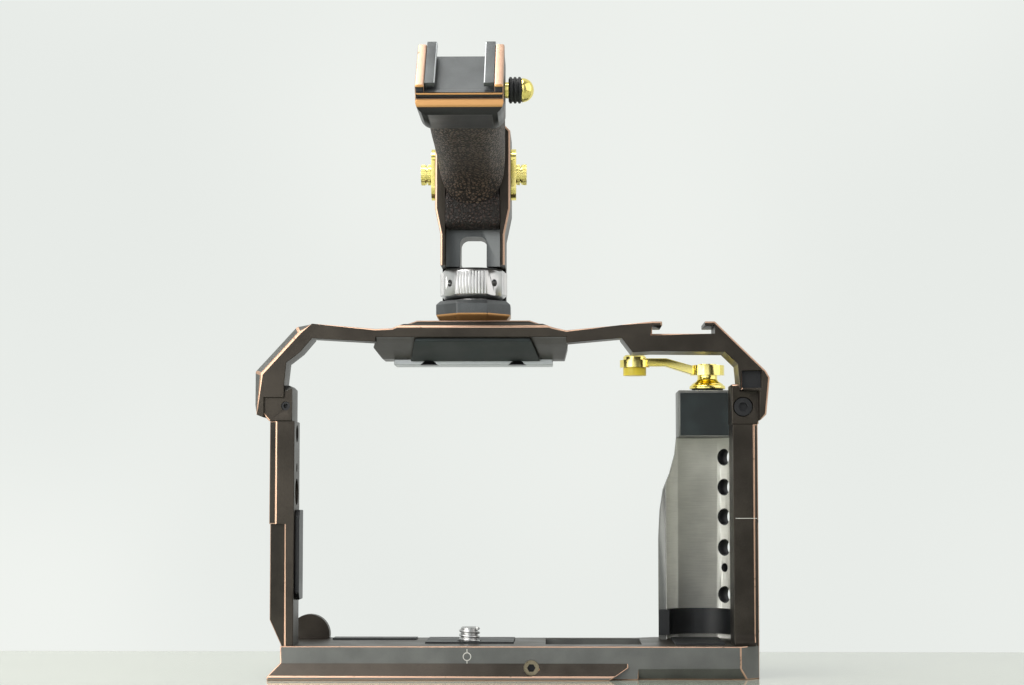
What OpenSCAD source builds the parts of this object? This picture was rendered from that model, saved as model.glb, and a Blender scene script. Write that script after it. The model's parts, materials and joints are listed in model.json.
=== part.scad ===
// Camera cage with a top handle, for a mirrorless camera body.
// Origin: camera screw axis, on the base's top seat face.
// +X is the operator's right, +Y runs towards the lens, +Z is up.

/* [Base] */
// Left end of the base, from the camera screw
base_left = 55.4; // [52:0.1:58]
// Right end of the base, from the camera screw
base_right = 86.8; // [84:0.1:92]
// Thickness of the base
base_t = 9.8; // [8.5:0.1:12]
// Depth of the base, rear face to front face
base_depth = 42; // [40:0.5:46]
// Rear face of the base to the camera screw
screw_inset = 18; // [16:0.5:20]
// Height of the straight wall above the dovetail
dove_wall = 5; // [4:0.1:6]
// How far the dovetail flares out
dove_out = 3.5; // [2.5:0.1:3.8]
// Right end of the dovetail, from the camera screw
dove_end = 47.6; // [40:0.1:54]
// Width of the battery opening
battery_w = 29; // [24:0.5:31]
// Depth of the battery opening
battery_d = 28; // [22:0.5:30]
// How far the base pads stand proud of the seat
pad_proud = 0.5; // [0.3:0.1:1]

/* [Camera screw] */
// Radius of the camera screw's thread
screw_r = 3.175; // [3:0.005:3.3]
// Thread standing above the seat
screw_up = 4.8; // [4:0.1:6]
// Radius of the camera screw's head
screw_head_r = 7.5; // [6:0.1:9]

/* [Posts] */
// Width of the left post
left_post_w = 7.7; // [6.5:0.1:9]
// Depth of the left post
left_post_d = 13.5; // [12:0.1:16]
// How far the left post stands outside the base's end
left_post_out = 4; // [3:0.1:5]
// Height of the left seam above the seat
left_seam = 66.7; // [62:0.1:70]
// Width of the right post
right_post_w = 7.5; // [6.5:0.1:9]
// Depth of the right post
right_post_d = 15; // [13:0.1:18]
// Height of the right seam above the seat
right_seam = 65.8; // [62:0.1:69]
// Depth of the right corner chamfer of the base
corner_cut = 6; // [4:0.1:7]

/* [Top arch] */
// Height of the arch's top face above the seat
arch_top = 95.8; // [93:0.1:100]
// Depth of the two thin arms
arm_d = 8; // [6:0.1:10]
// Height of the two thin arms
arm_h = 3.9; // [3:0.1:4.4]
// Depth of the hump
hump_d = 36; // [34:0.5:40]
// Height of the handle seat above the arch's top face
seat_rise = 1.5; // [1:0.1:2.5]
// Centre of the hump and of the handle, from the camera screw
hump_x = 1; // [0:0.1:2]

/* [Accessory shoe of the cage] */
// Width of the shoe slot between its walls
shoe_w = 18.7; // [18.5:0.1:19]
// Gap between the lips
shoe_gap = 12.7; // [12.4:0.1:13]
// Height of the slot under the lips
shoe_slot = 2.4; // [2:0.1:2.6]
// Thickness of the lips
shoe_lip = 1.3; // [1:0.1:1.6]
// Length of the shoe
shoe_len = 16.7; // [15:0.1:20]
// Left wall of the shoe slot, from the camera screw
shoe_x = 55.1; // [54:0.1:56]

/* [Grip shell] */
// Left edge of the shell, from the camera screw
shell_left = 58.1; // [57:0.1:60]
// Wall of the shell
shell_wall = 2.6; // [2:0.1:3.2]
// Height of the shell's top block
block_top = 77.1; // [75:0.1:79]
// Underside of the shell's top block
block_low = 62.6; // [60:0.1:64]
// Left face of the top block, from the camera screw
block_left = 64.3; // [62:0.1:66]
// Radius of the accessory holes in the shell
shell_hole_r = 2.65; // [2:0.05:3.2]

/* [Lever] */
// Radius of the lever's hub disc
hub_r = 5.3; // [4.5:0.1:6]
// Reach of the lever, hub to button
lever_reach = 22.7; // [20:0.1:24]
// Width of the lever arm
lever_w = 5; // [4:0.1:6]
// Travel of the button
button_travel = 1; // [0.5:0.1:1.2]

/* [Handle] */
// Width of the octagonal foot
foot_w = 22.8; // [21:0.1:25]
// Height of the foot
foot_h = 6.8; // [6:0.1:8]
// Radius of the lock ring
ring_r = 10; // [9:0.1:10.2]
// Height of the lock ring
ring_h = 9.2; // [8:0.1:10]
// Radius of the mounting screw
mount_r = 4.7625; // [4.7:0.0125:4.8]
// Half width of the riser
riser_half = 9.85; // [9.4:0.05:10.4]
// Depth of the riser
riser_d = 24; // [22:0.5:26]
// Wall of the riser's cheeks
cheek_t = 1.5; // [1.2:0.1:2]
// Width of the window in the riser
window_w = 8.2; // [6:0.1:9]
// Underside of the horizontal grip above the seat
grip_low = 141; // [139:0.5:143]
// Top of the handle above the seat
grip_high = 163; // [161:0.5:166]
// Reach of the grip from the riser to the nose
grip_reach = 66; // [60:0.5:75]
// Half width of the leather grip
leather_half = 10.3; // [9.8:0.1:11]
// Radius of the gold thumb screws
thumb_r = 3.1; // [2.6:0.1:3.6]

/* [Nose shoe] */
// Slope of the nose shoe
nose_tilt = 45; // [40:1:50]
// Outer width of the nose block
nose_w = 23.5; // [23:0.1:25]
// Length of the nose shoe along its slope
nose_len = 18.7; // [18:0.1:20]

/* [Hidden] */
$fn = 64;
eps = 0.01;                         // cutters pass the faces that they open by this much
run_fit = 0.06;                     // radial clearance of a turning fit
gunmetal = [0.36, 0.33, 0.30];
gold = [0.90, 0.75, 0.20];
rubber = [0.16, 0.19, 0.20];
steel = [0.75, 0.75, 0.76];
leather = [0.24, 0.19, 0.17];

rear = -screw_inset;                // rear face of the base and the arch
front = base_depth - screw_inset;   // front face of the base
left_post_x = -base_left - left_post_out;
right_post_x = base_right - right_post_w;
left_post_y = rear + 1;             // rear face of the left post
right_post_y = rear + corner_cut - 1;

// Prism of an X-Z outline from y0 to y1
module xz(y0, y1) {
    translate([0, y1, 0]) rotate([90, 0, 0]) linear_extrude(y1 - y0) children();
}
// Prism of a Y-Z outline from x0 to x1
module yz(x0, x1) {
    translate([x0, 0, 0]) rotate([90, 0, 90]) linear_extrude(x1 - x0) children();
}
// Prism of an X-Y outline from z0 to z1
module xy(z0, z1) {
    translate([0, 0, z0]) linear_extrude(z1 - z0) children();
}
// Cylinder along X, at y and z
module xcyl(r, x0, x1, y, z) {
    translate([x0, y, z]) rotate([0, 90, 0]) cylinder(r = r, h = x1 - x0);
}
// Cylinder along Y, at x and z
module ycyl(r, y0, y1, x, z) {
    translate([x, y1, z]) rotate([90, 0, 0]) cylinder(r = r, h = y1 - y0);
}
// Cylinder along Z, at x and y
module zcyl(r, z0, z1, x = 0, y = 0) {
    translate([x, y, z0]) cylinder(r = r, h = z1 - z0);
}
// Box from one corner to the other
module box(a, b) {
    translate(a) cube(b - a);
}

// ---- places shared by several pieces ----
handle_y = rear + 22;               // axis of the handle's screw
seat = arch_top + seat_rise;        // the handle's seat on the hump
shell_front = front + 4;            // front of the grip shell
shell_right = base_right - 2.8;
shell_rear = right_post_y + right_post_d;
shell_round = 12;                   // outer radius of the shell's front corners
block_face = rear + 27;             // rear face of the shell's top block
lever_x = block_left + 9.4;
lever_y = block_face + 7;
lever_bore_r = 2;                   // radius of the lever's pivot screw
washer_t = 0.6;
hub_z = block_top + 4.9;            // underside of the lever's hub
hub_h = 3.1;
button_x = lever_x - lever_reach;
battery_x = 23.1;
battery_y = rear + 10;
pad_sink = 0.6;                     // depth of the pads' recesses
bore_r = screw_r + 0.35;            // the camera screw's hole in the base
neck_r = bore_r - run_fit;
head_gap = 3.9;                     // depth of the camera screw's head recess
clip_t = 0.3;
hex_x = 19;
hex_z = -dove_wall - 1.25;
hex_r = 2.25;
set_x = left_post_x + 5;
set_z = left_seam + 4.5;
set_r = 1.3;
cap_x = right_post_x + 3.1;
cap_z = right_seam + 5.2;
cap_r = 2.7;
mark_z = -3;                        // centre mark on the base's rear face

// ---- base and posts ----
// Outline of the base plate from above, with the tongue that carries the grip shell
module base_plan() {
    polygon([[-base_left, rear], [base_right - corner_cut, rear],
        [base_right, rear + corner_cut], [base_right, front],
        [base_right - 4, shell_front], [shell_left - 1, shell_front],
        [shell_left - 7, front], [-base_left, front]]);
}
// Dovetail rail along the base, mitred at its left end and cut back at its right end
module dovetail() {
    flare_z = -dove_wall - dove_out - 0.2;
    intersection() {
        yz(-base_left - dove_out, dove_end)
            polygon([[rear, 0], [rear, -dove_wall], [rear - dove_out, flare_z],
                [rear - dove_out, -base_t], [front + dove_out, -base_t],
                [front + dove_out, flare_z], [front, -dove_wall], [front, 0]]);
        xz(rear - dove_out, front + dove_out)
            polygon([[-base_left, 0], [-base_left, -dove_wall], [-base_left - dove_out, flare_z],
                [-base_left - dove_out, -base_t], [dove_end - 5.7, -base_t],
                [dove_end, -dove_wall - 1.2], [dove_end, 0]]);
    }
}
// Left post: chamfered towards the operator, wider below its waist
module left_post() {
    waist = 36;
    x = left_post_x;
    y = left_post_y;
    w = left_post_w;
    intersection() {
        union() {
            xy(0, waist) polygon([[x, y + 5], [x + 5.2, y], [x + w, y],
                [x + w, y + left_post_d], [x, y + left_post_d]]);
            xy(waist, left_seam) polygon([[x, y + 2.4], [x + 2.2, y], [x + w, y],
                [x + w, y + left_post_d], [x, y + left_post_d]]);
        }
        xz(y, y + left_post_d) polygon([[-base_left, 0], [x, 7.4], [x, left_seam],
            [x + w, left_seam], [x + w, 0]]);
    }
}
// Right post, with a light chamfer on its outer edge and a sloping toe
module right_post() {
    y = right_post_y;
    xy(0, right_seam) polygon([[right_post_x, y], [base_right - 1.2, y], [base_right, y + 1.2],
        [base_right, y + right_post_d], [right_post_x, y + right_post_d]]);
    yz(right_post_x, base_right - 1.2)
        polygon([[y + eps, 0], [y - 3, 0], [y - 1, 1], [y, 3.6], [y + eps, 3.6]]);
}
// Rounded lug that keeps the camera from turning on its screw
module ear() {
    lug_r = 6.3;
    intersection() {
        ycyl(lug_r, front - 4, front, left_post_x + 8.4, 1.1);
        box([left_post_x, front - 4, -1], [0, front, 9]);
    }
}
module lower_frame() {
    color(gunmetal) difference() {
        union() {
            xy(-base_t, 0) base_plan();
            dovetail();
            left_post();
            right_post();
            ear();
        }
        zcyl(bore_r, -base_t - eps, eps);
        zcyl(screw_head_r + 0.2, -base_t - eps, head_gap - base_t);
        box([battery_x, battery_y, -base_t - eps], [battery_x + battery_w, battery_y + battery_d, eps]);
        pad_areas(-pad_sink, eps);
        ycyl(hex_r + 0.05, rear - dove_out - eps, rear + 8.5, hex_x, hex_z);
        yz(dove_end + 3, base_right + eps) polygon([[rear - eps, -6.5], [rear + 2, -base_t - eps],
            [rear - eps, -base_t - eps]]);
        xcyl(3.97, left_post_x - 2, left_post_x + left_post_w + eps, post_mid, hole_z);
        xcyl(1.35, left_post_x + 3, left_post_x + left_post_w + eps, post_mid, hole_z + 7.3);
        xcyl(2.6, left_post_x - 2, left_post_x + left_post_w + eps, post_mid, left_seam - 3.6);
        for (p = shell_screws) zcyl(1, -base_t - eps, eps, p[0], p[1]);
        for (p = shell_screws) zcyl(2, -base_t - eps, 1.8 - base_t, p[0], p[1]);
        ycyl(1.1, rear - eps, rear + 0.15, 0, mark_z);
        box([-0.15, rear - eps, mark_z - 2], [0.15, rear + 0.15, mark_z + 2.2]);
    }
}
post_mid = left_post_y + left_post_d / 2;
hole_z = 45.6;                      // the 3/8 inch hole in the left post
shell_screws = [[shell_left + 12, shell_front - shell_wall / 2],
    [shell_right - shell_wall / 2, shell_rear + 6]];

// ---- pads, screws and lugs of the base ----
// The four rubber pads that are let into the base's top face
module pad_areas(z0, z1) {
    difference() {
        box([-13.2, rear + 13, z0], [13.4, front - 5, z1]);
        zcyl(screw_r + 0.6, z0 - eps, z1 + eps);
    }
    box([left_post_x + 16.5, front - 12, z0], [-17, front - 4, z1]);
    box([shell_left + 4, rear + 8, z0], [right_post_x - 2.5, front - 4, z1]);
}
module base_pads() {
    color(rubber) pad_areas(-pad_sink, pad_proud);
}
module rear_hex_screw() {
    color(steel) difference() {
        ycyl(hex_r, rear - 0.9, rear + 7.5, hex_x, hex_z);
        translate([hex_x, rear - 0.9 - eps, hex_z]) rotate([-90, 0, 0]) cylinder(r = 1.25, h = 1.8, $fn = 6);
    }
}
module camera_screw() {
    head_top = head_gap - base_t - clip_t - 0.05;
    color(steel) difference() {
        union() {
            zcyl(screw_r, 0, screw_up - 0.5);
            translate([0, 0, screw_up - 0.5]) cylinder(r1 = screw_r, r2 = screw_r - 0.5, h = 0.5);
            zcyl(neck_r, head_top - eps, 0);
            zcyl(screw_head_r, 0.4 - base_t, head_top);
        }
        box([-screw_head_r - 1, -0.8, -base_t], [screw_head_r + 1, 0.8, 1.6 - base_t]);
        translate([0, 0, -base_t]) cylinder(r = 2.9, h = 2.4, $fn = 6);
    }
}
module screw_washer() {
    color(rubber) difference() {
        zcyl(screw_head_r - 1, head_gap - base_t - clip_t, head_gap - base_t);
        zcyl(bore_r, -base_t, 0);
    }
}
module left_inner_pad() {
    x = left_post_x + left_post_w;
    color(gunmetal) yz(x, x + 1.4)
        polygon([[left_post_y + 2, 15.5], [left_post_y + 4, 13.4], [left_post_y + 12, 13.4],
            [left_post_y + 12, 40.2], [left_post_y + 4, 40.2], [left_post_y + 2, 38.2]]);
}

// ---- top arch ----
// Height of a point given as a drop below the arch's top face
function below(drop) = arch_top - drop;
lip_w = (shoe_w - shoe_gap) / 2;
lip_top = arch_top + 0.5;
shoe_floor = lip_top - shoe_lip - shoe_slot;

// Left corner: a bent strap, and the knuckle that stands on the left post
module left_corner() {
    x = left_post_x;
    z = left_seam;
    xz(rear, rear + 12) polygon([[x - 3.5, z + 1.8], [x - 4.2, z + 4.7], [x - 4.2, below(14.3)],
        [x + 8.1, below(0.9)], [x + 12.9, arch_top], [x + 12.9, below(4.4)], [x + 9.3, below(8.6)],
        [x + 5.3, below(11.7)], [x + 4.6, below(18.1)], [x + 4.6, z + 7], [x - 1.4, z + 7],
        [x - 1.4, z + 1]]);
    xz(rear + 0.8, left_post_y + left_post_d) polygon([[x - 1.7, z + 2], [x - 1.7, z + 7.2],
        [x + 0.5, z + 10.7], [x + 6, z + 10.7], [x + 7, z + 9.7], [x + 7, z], [x, z]]);
}
// Thin arm from the left corner to the hump
module left_arm() {
    end = hump_x - 28.5;
    xz(rear, rear + arm_d) polygon([[left_post_x + 12.8, arch_top], [end, below(1.6)],
        [end, below(1.6 + arm_h)], [left_post_x + 12.8, below(arm_h + 0.5)]]);
}
// Hump: seen from the rear a low trapezoid, in side view a wedge that drops towards the front
module hump() {
    x = hump_x;
    intersection() {
        yz(x - 31, x + 30) polygon([[rear, below(4.1)], [rear, below(0.8)], [rear + 1.5, arch_top],
            [rear + 6, arch_top], [rear + 7.5, seat], [rear + hump_d, seat],
            [rear + hump_d, below(4)], [rear + hump_d - 4, below(9.4)], [rear + 20, below(9.4)],
            [rear + 1.5, below(4.3)]]);
        xz(rear, rear + hump_d) polygon([[x - 29, below(1.6)], [x - 23.7, below(1.4)],
            [x - 16.5, seat], [x + 17.5, seat], [x + 24.5, below(1.2)], [x + 29, below(2.2)],
            [x + 29, below(5.9)], [x + 27.7, below(11)], [x + 24.5, below(11.6)],
            [x - 20.7, below(11.6)], [x - 26.7, below(11.3)], [x - 30, below(6.5)],
            [x - 29.3, below(5.6)]]);
    }
}
// Thin arm from the hump to the shoe
module right_arm() {
    start = hump_x + 28.5;
    end = shoe_x - 8.5;
    xz(rear, rear + arm_d) polygon([[start, below(2.1)], [end, below(0.5)],
        [end, below(0.5 + arm_h)], [start, below(2 + arm_h)]]);
}
// Accessory shoe and the bent strap of the right corner
module shoe_and_corner() {
    x0 = shoe_x;
    x1 = shoe_x + shoe_w;
    r = base_right;
    xz(rear, rear + shoe_len) polygon([[x0 - 9.2, below(0.5)], [x0, lip_top], [x0 + lip_w, lip_top],
        [x0 + lip_w, lip_top - shoe_lip], [x0, lip_top - shoe_lip], [x0, shoe_floor],
        [x1, shoe_floor], [x1, lip_top - shoe_lip], [x1 - lip_w, lip_top - shoe_lip],
        [x1 - lip_w, lip_top], [x1, lip_top], [r + 2.1, below(14.3)], [r + 3.2, below(16.3)],
        [r + 2.1, right_seam + 2.7], [r + 0.3, right_seam + 1], [r + 0.1, right_seam + 1],
        [r + 0.1, below(20.2)], [right_post_x + 1.9, below(20.2)], [right_post_x + 1.2, below(12.3)],
        [right_post_x - 2.6, below(8.6)], [x0, below(8.4)], [x0 - 5.8, below(8.8)],
        [x0 - 9.2, below(4.3)]]);
    box([right_post_x - 0.2, right_post_y, right_seam],
        [r + 0.2, right_post_y + right_post_d, below(18)]);
}
module top_arch() {
    color(gunmetal) difference() {
        union() {
            left_corner();
            left_arm();
            hump();
            right_arm();
            shoe_and_corner();
        }
        zcyl(mount_r + run_fit, below(12), seat + eps, hump_x, handle_y);
        for (x = lip_screw_xs) zcyl(1.4, below(10), below(9.4) + 5, x, lip_screw_y);
        ycyl(set_r + 0.05, rear, rear + 9, set_x, set_z);
        ycyl(cap_r + 0.3, right_post_y - eps, right_post_y + 3, cap_x, cap_z);
        ycyl(1.55, right_post_y, right_post_y + 11.5, cap_x, cap_z);
        box([right_post_x + 2.4, rear - eps, below(19.4)], [base_right + 0.7, rear + 2.5, below(14.2)]);
    }
}
module left_set_screw() {
    color(steel) difference() {
        ycyl(set_r, rear + 1.2, rear + 8, set_x, set_z);
        translate([set_x, rear + 1.2 - eps, set_z]) rotate([-90, 0, 0]) cylinder(r = 0.75, h = 1.5, $fn = 6);
    }
}
module right_cap_screw() {
    color(rubber) difference() {
        union() {
            ycyl(cap_r, right_post_y + 0.3, right_post_y + 3, cap_x, cap_z);
            ycyl(1.5, right_post_y + 3 - eps, right_post_y + 11, cap_x, cap_z);
        }
        translate([cap_x, right_post_y + 0.3 - eps, cap_z]) rotate([-90, 0, 0]) cylinder(r = 1.45, h = 1.5, $fn = 6);
    }
}
// Rubber trapezoid on the hump's sloping underside
module hump_pad() {
    x = hump_x;
    t = 1;
    color(rubber) intersection() {
        yz(x - 25, x + 25) polygon([[rear + 1.5, below(4.3)], [rear + 20, below(9.4)],
            [rear + 20, below(9.4 + t)], [rear + 1.5, below(4.3 + t)]]);
        xz(rear, rear + 19.2) polygon([[x - 16.5, below(4.3)], [x + 17.5, below(4.3)],
            [x + 20.7, below(9.4 + t)], [x - 19.4, below(9.4 + t)]]);
    }
}
lip_t = 1.8;
lip_screw_xs = [hump_x - 13.7, hump_x + 13.4];
lip_screw_y = rear + 21.8;
// Light alloy strip along the hump's lower front edge
module lip_plate() {
    z1 = below(9.4);
    color([0.72, 0.74, 0.75]) difference() {
        box([hump_x - 24.5, rear + 20.3, z1 - lip_t], [hump_x + 24.4, rear + 32, z1]);
        for (x = lip_screw_xs) translate([x, lip_screw_y, z1 - lip_t - eps])
            cylinder(r1 = 3 + run_fit, r2 = 1.4 + run_fit, h = lip_t + 2 * eps);
    }
}
module lip_screws() {
    z1 = below(9.4);
    color([0.1, 0.1, 0.1]) for (x = lip_screw_xs) {
        translate([x, lip_screw_y, z1 - lip_t]) cylinder(r1 = 3, r2 = 1.4, h = lip_t);
        zcyl(1.35, z1 - 0.2, z1 + 4.5, x, lip_screw_y);
    }
}

// ---- grip shell ----
// Plan of the camera's grip pocket, closed at the front and rounded at both front corners
module grip_plan(inset) {
    r = shell_round - inset;
    x0 = shell_left + inset;
    x1 = shell_right - inset;
    y1 = shell_front - inset;
    square_at([x0, shell_rear], [x1, y1 - r]);
    square_at([x0 + r, shell_rear], [x1 - r, y1]);
    translate([x0 + r, y1 - r]) circle(r);
    translate([x1 - r, y1 - r]) circle(r);
}
module square_at(a, b) {
    translate(a) square(b - a);
}
// Plan of the shell's wall: an open hook, from the right post round to the left edge
module shell_plan(outer, inner) {
    difference() {
        grip_plan(outer);
        grip_plan(inner);
        square_at([shell_left - 1, shell_rear - 1], [shell_right - 9, shell_front - shell_round]);
        square_at([shell_left - 1, shell_rear - 1], [shell_right - shell_wall, shell_rear + eps]);
    }
}
shell_hole_zs = [13.6, 28.3, 37.9, 47.2, 56.6];
shell_hole_angle = 40;              // where the holes sit round the front corner
corner_x = shell_right - shell_round;
corner_y = shell_front - shell_round;
// Cutter for a hole that is square to the shell's rounded corner
module corner_hole(r, z) {
    translate([corner_x, corner_y, z]) rotate([0, 0, shell_hole_angle])
        xcyl(r, shell_round - shell_wall - 1, shell_round + strip_t + 1, 0, 0);
}
strip_w = 9;                        // width of the flat strip along the threaded holes
strip_t = 1.3;                      // how far it stands outside the corner's round
// Plan of the flat strip outside the front corner, which gives the threaded holes their depth
module hole_strip() {
    difference() {
        translate([corner_x, corner_y]) rotate(shell_hole_angle)
            square_at([shell_round - shell_wall, -strip_w / 2], [shell_round + strip_t, strip_w / 2]);
        grip_plan(shell_wall);
    }
}
module grip_shell() {
    color([0.45, 0.43, 0.41]) difference() {
        union() {
            intersection() {
                xy(0, block_low) {
                    shell_plan(0, shell_wall);
                    hole_strip();
                }
                xz(shell_rear, shell_front) polygon([[shell_left, 0], [shell_left, 30.5],
                    [shell_left + 0.6, 40], [shell_left + 1.7, 46.4], [shell_left + 3.9, 51.6],
                    [block_left - 0.6, 57.5], [block_left, block_low], [shell_right, block_low],
                    [shell_right, 0]]);
            }
            intersection() {
                xy(block_low, block_top) grip_plan(0);
                box([block_left, block_face, block_low], [shell_right, shell_front, block_top]);
            }
            xy(block_low, block_top) intersection() {
                shell_plan(0, shell_wall);
                square_at([shell_right - shell_wall, shell_rear], [shell_right, shell_front]);
            }
        }
        for (z = shell_hole_zs) corner_hole(shell_hole_r, z);
        corner_hole(1.4, 22);
        zcyl(lever_bore_r, block_top - 8, block_top + eps, lever_x, lever_y);
        for (p = shell_screws) zcyl(0.9, -eps, 6, p[0], p[1]);
    }
}
module grip_top_pad() {
    color(rubber) box([block_left + 0.5, block_face - 1, block_low + 0.5],
        [right_post_x + 1.5, block_face, block_top - 0.8]);
}
band_t = 0.8;                       // thickness of the bottom pad
module grip_bottom_pad() {
    x = shell_left + shell_wall;
    y = shell_front - shell_round;
    color(rubber) xy(1.4, 9.3) {
        shell_plan(shell_wall, shell_wall + band_t);
        square_at([shell_left, y - band_t], [x + band_t, y]);
        square_at([x, y - band_t], [x + band_t, y + 1]);
    }
}
module grip_screws() {
    color(steel) for (p = shell_screws) {
        zcyl(1.9, 0.1 - base_t, 1.7 - base_t, p[0], p[1]);
        zcyl(0.9, 1.7 - base_t - eps, 5.8, p[0], p[1]);
    }
}

// ---- lever with the end button ----
module lever_washer() {
    color(rubber) difference() {
        zcyl(4.9, block_top, block_top + washer_t, lever_x, lever_y);
        zcyl(lever_bore_r, block_top - 1, block_top + 2, lever_x, lever_y);
    }
}
module lever_base() {
    z = block_top + washer_t;
    top = hub_z - 0.08 - z;
    color(gold) translate([lever_x, lever_y, z]) rotate_extrude()
        polygon([[lever_bore_r, 0], [5.6, 0], [5.6, 0.9], [4.8, 1.6], [3.6, 2.2], [3.1, 2.9],
            [3.1, top], [lever_bore_r, top]]);
}
module lever_screw() {
    top = hub_z + hub_h;
    color(gold) difference() {
        union() {
            zcyl(lever_bore_r, block_top - 7.5, top - 1, lever_x, lever_y);
            zcyl(2.9, top - 1.1, top + 0.4, lever_x, lever_y);
        }
        translate([lever_x, lever_y, top - 0.8]) cylinder(r = 1.3, h = 2, $fn = 6);
    }
}
sleeve_z = hub_z + 2.5;             // underside of the sleeve that holds the button
sleeve_h = 2.3;
sleeve_floor = 0.9;
rod_r = 1.2;
cap_piston_r = 3.6;
module lever_arm() {
    top = hub_z + hub_h;
    color(gold) difference() {
        union() {
            zcyl(hub_r, hub_z, top, lever_x, lever_y);
            zcyl(cap_piston_r + 1.05, sleeve_z, sleeve_z + sleeve_h, button_x, lever_y);
            xz(lever_y - lever_w / 2, lever_y + lever_w / 2) polygon([[lever_x - 3, hub_z + 0.3],
                [lever_x - 3, hub_z + 2.9], [lever_x - 4.5, hub_z + 2.9], [lever_x - 12.8, hub_z + 5.3],
                [button_x + 3, hub_z + 5.3], [button_x + 3, hub_z + 2.8],
                [lever_x - 13.2, hub_z + 2.8], [lever_x - 5.2, hub_z + 0.3]]);
        }
        zcyl(lever_bore_r + run_fit, hub_z - 1, top + 1, lever_x, lever_y);
        zcyl(2.9 + run_fit, top - 1.15, top + 1, lever_x, lever_y);
        zcyl(rod_r + run_fit, sleeve_z - 1, sleeve_z + 2, button_x, lever_y);
        zcyl(cap_piston_r + run_fit, sleeve_z + sleeve_floor, hub_z + 9, button_x, lever_y);
        for (s = [-1, 1]) box([button_x + 5, lever_y + s * 1.3 - 0.35, hub_z + 5],
            [lever_x - 12.8, lever_y + s * 1.3 + 0.35, hub_z + 5.4]);
    }
}
piston_z = sleeve_z + sleeve_floor + button_travel + 0.15;
pad_h = 2.4;
module button_cap() {
    color(gold) union() {
        zcyl(cap_piston_r, piston_z, sleeve_z + sleeve_h + 1, button_x, lever_y);
        translate([button_x, lever_y, sleeve_z + sleeve_h + 1])
            cylinder(r1 = cap_piston_r, r2 = cap_piston_r - 0.6, h = 0.6);
        zcyl(rod_r, sleeve_z - 1.3, piston_z + eps, button_x, lever_y);
    }
}
module button_pad() {
    color([0.90, 0.78, 0.16]) difference() {
        zcyl(3.6, sleeve_z - 0.1 - pad_h, sleeve_z - 0.1, button_x, lever_y);
        zcyl(rod_r, sleeve_z - 1.3, sleeve_z, button_x, lever_y);
    }
}
module button_spring() {
    color(steel) difference() {
        zcyl(2.6, sleeve_z + sleeve_floor + 0.02, piston_z - 0.02, button_x, lever_y);
        zcyl(rod_r + 0.3, sleeve_z, piston_z + 1, button_x, lever_y);
    }
}

// ---- handle ----
foot_z = seat + 0.05;               // the foot turns on the hump's seat
foot_top = seat + foot_h;
ring_z = foot_top + 0.7;
cavity_top = ring_z + ring_h + 0.6;
riser_y0 = handle_y - ring_r;
riser_y1 = riser_y0 + riser_d;
cheek_half = 11.5;                  // half width of the handle where the side plates sit
nose_y = riser_y0 - grip_reach;     // where the grip meets the nose block
nose_low = grip_low + 4.3;
spine_h = 13;                       // height of the metal spine in the grip
pocket_d = 6;                       // depth of the riser's two pockets
leather_foot = 126;                 // lower edge of the leather on the riser
// Octagonal foot with a bevelled rim, and the tongue that carries the riser
module handle_foot() {
    r = foot_w / 2 / cos(22.5);
    color(gunmetal) difference() {
        union() {
            translate([hump_x, handle_y, foot_z]) rotate([0, 0, 22.5]) {
                cylinder(r1 = r - 1.8, r2 = r, h = 2, $fn = 8);
                translate([0, 0, 2]) cylinder(r = r, h = foot_top - foot_z - 3.2, $fn = 8);
                translate([0, 0, foot_top - foot_z - 1.2])
                    cylinder(r1 = r, r2 = r - 1.4, h = 1.2, $fn = 8);
            }
            box([hump_x - 8, handle_y + 6, foot_z + 1], [hump_x + 8, riser_y1, foot_top]);
        }
        zcyl(mount_r + run_fit, foot_z - 1, foot_top + 1, hump_x, handle_y);
    }
}
shoulder_low = 124;                 // where the riser starts to widen towards the side plates
shoulder_high = 132;                // where it has its full width
// Front view of the riser and spine: two cheeks that widen towards the side plates
module riser_front() {
    h = riser_half;
    c = cheek_half;
    translate([hump_x, 0]) polygon([[-h, foot_top], [h, foot_top], [h, shoulder_low], [c, shoulder_high],
        [c, grip_high - 7], [9.5, grip_high - 5], [9.5, grip_high - 1], [8.5, grip_high],
        [-8.5, grip_high], [-9.5, grip_high - 1], [-9.5, grip_high - 5], [-c, grip_high - 7],
        [-c, shoulder_high], [-h, shoulder_low]]);
}
module riser() {
    y0 = riser_y0;
    y1 = riser_y1;
    top = grip_high;
    low = top - spine_h;
    inner = riser_half - cheek_t;
    difference() {
        intersection() {
            yz(hump_x - 12, hump_x + 12) polygon([[y0, foot_top], [y1, foot_top],
                [y1, top - 10], [y1 - 8, top], [y0, top]]);
            xz(y0, y1) riser_front();
        }
        box([hump_x - inner, y0 - eps, cavity_top], [hump_x + inner, y0 + pocket_d, low]);
        box([hump_x - inner, y1 - pocket_d, cavity_top + 2], [hump_x + inner, y1 + eps, top - 14]);
        window();
    }
    difference() {
        union() {
            xz(nose_y, y0) translate([hump_x, 0]) polygon([[-8, low], [8, low], [8, top - 5],
                [9.5, top - 5], [9.5, top - 1], [8.5, top], [-8.5, top], [-9.5, top - 1],
                [-9.5, top - 5], [-8, top - 5]]);
            box([hump_x - 6, nose_y - 6, low], [hump_x + 6, nose_y, low + 7]);
        }
        for (y = spine_hole_ys) zcyl(2.6, top - 10, top + 1, hump_x, y);
        for (x = nose_screw_xs) zcyl(1.2, low - 1, low + 8, x, nose_y - 3);
    }
}
spine_hole_ys = [nose_y + 18, nose_y + 36];
nose_screw_xs = [hump_x - 3.5, hump_x + 3.5];
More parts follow.
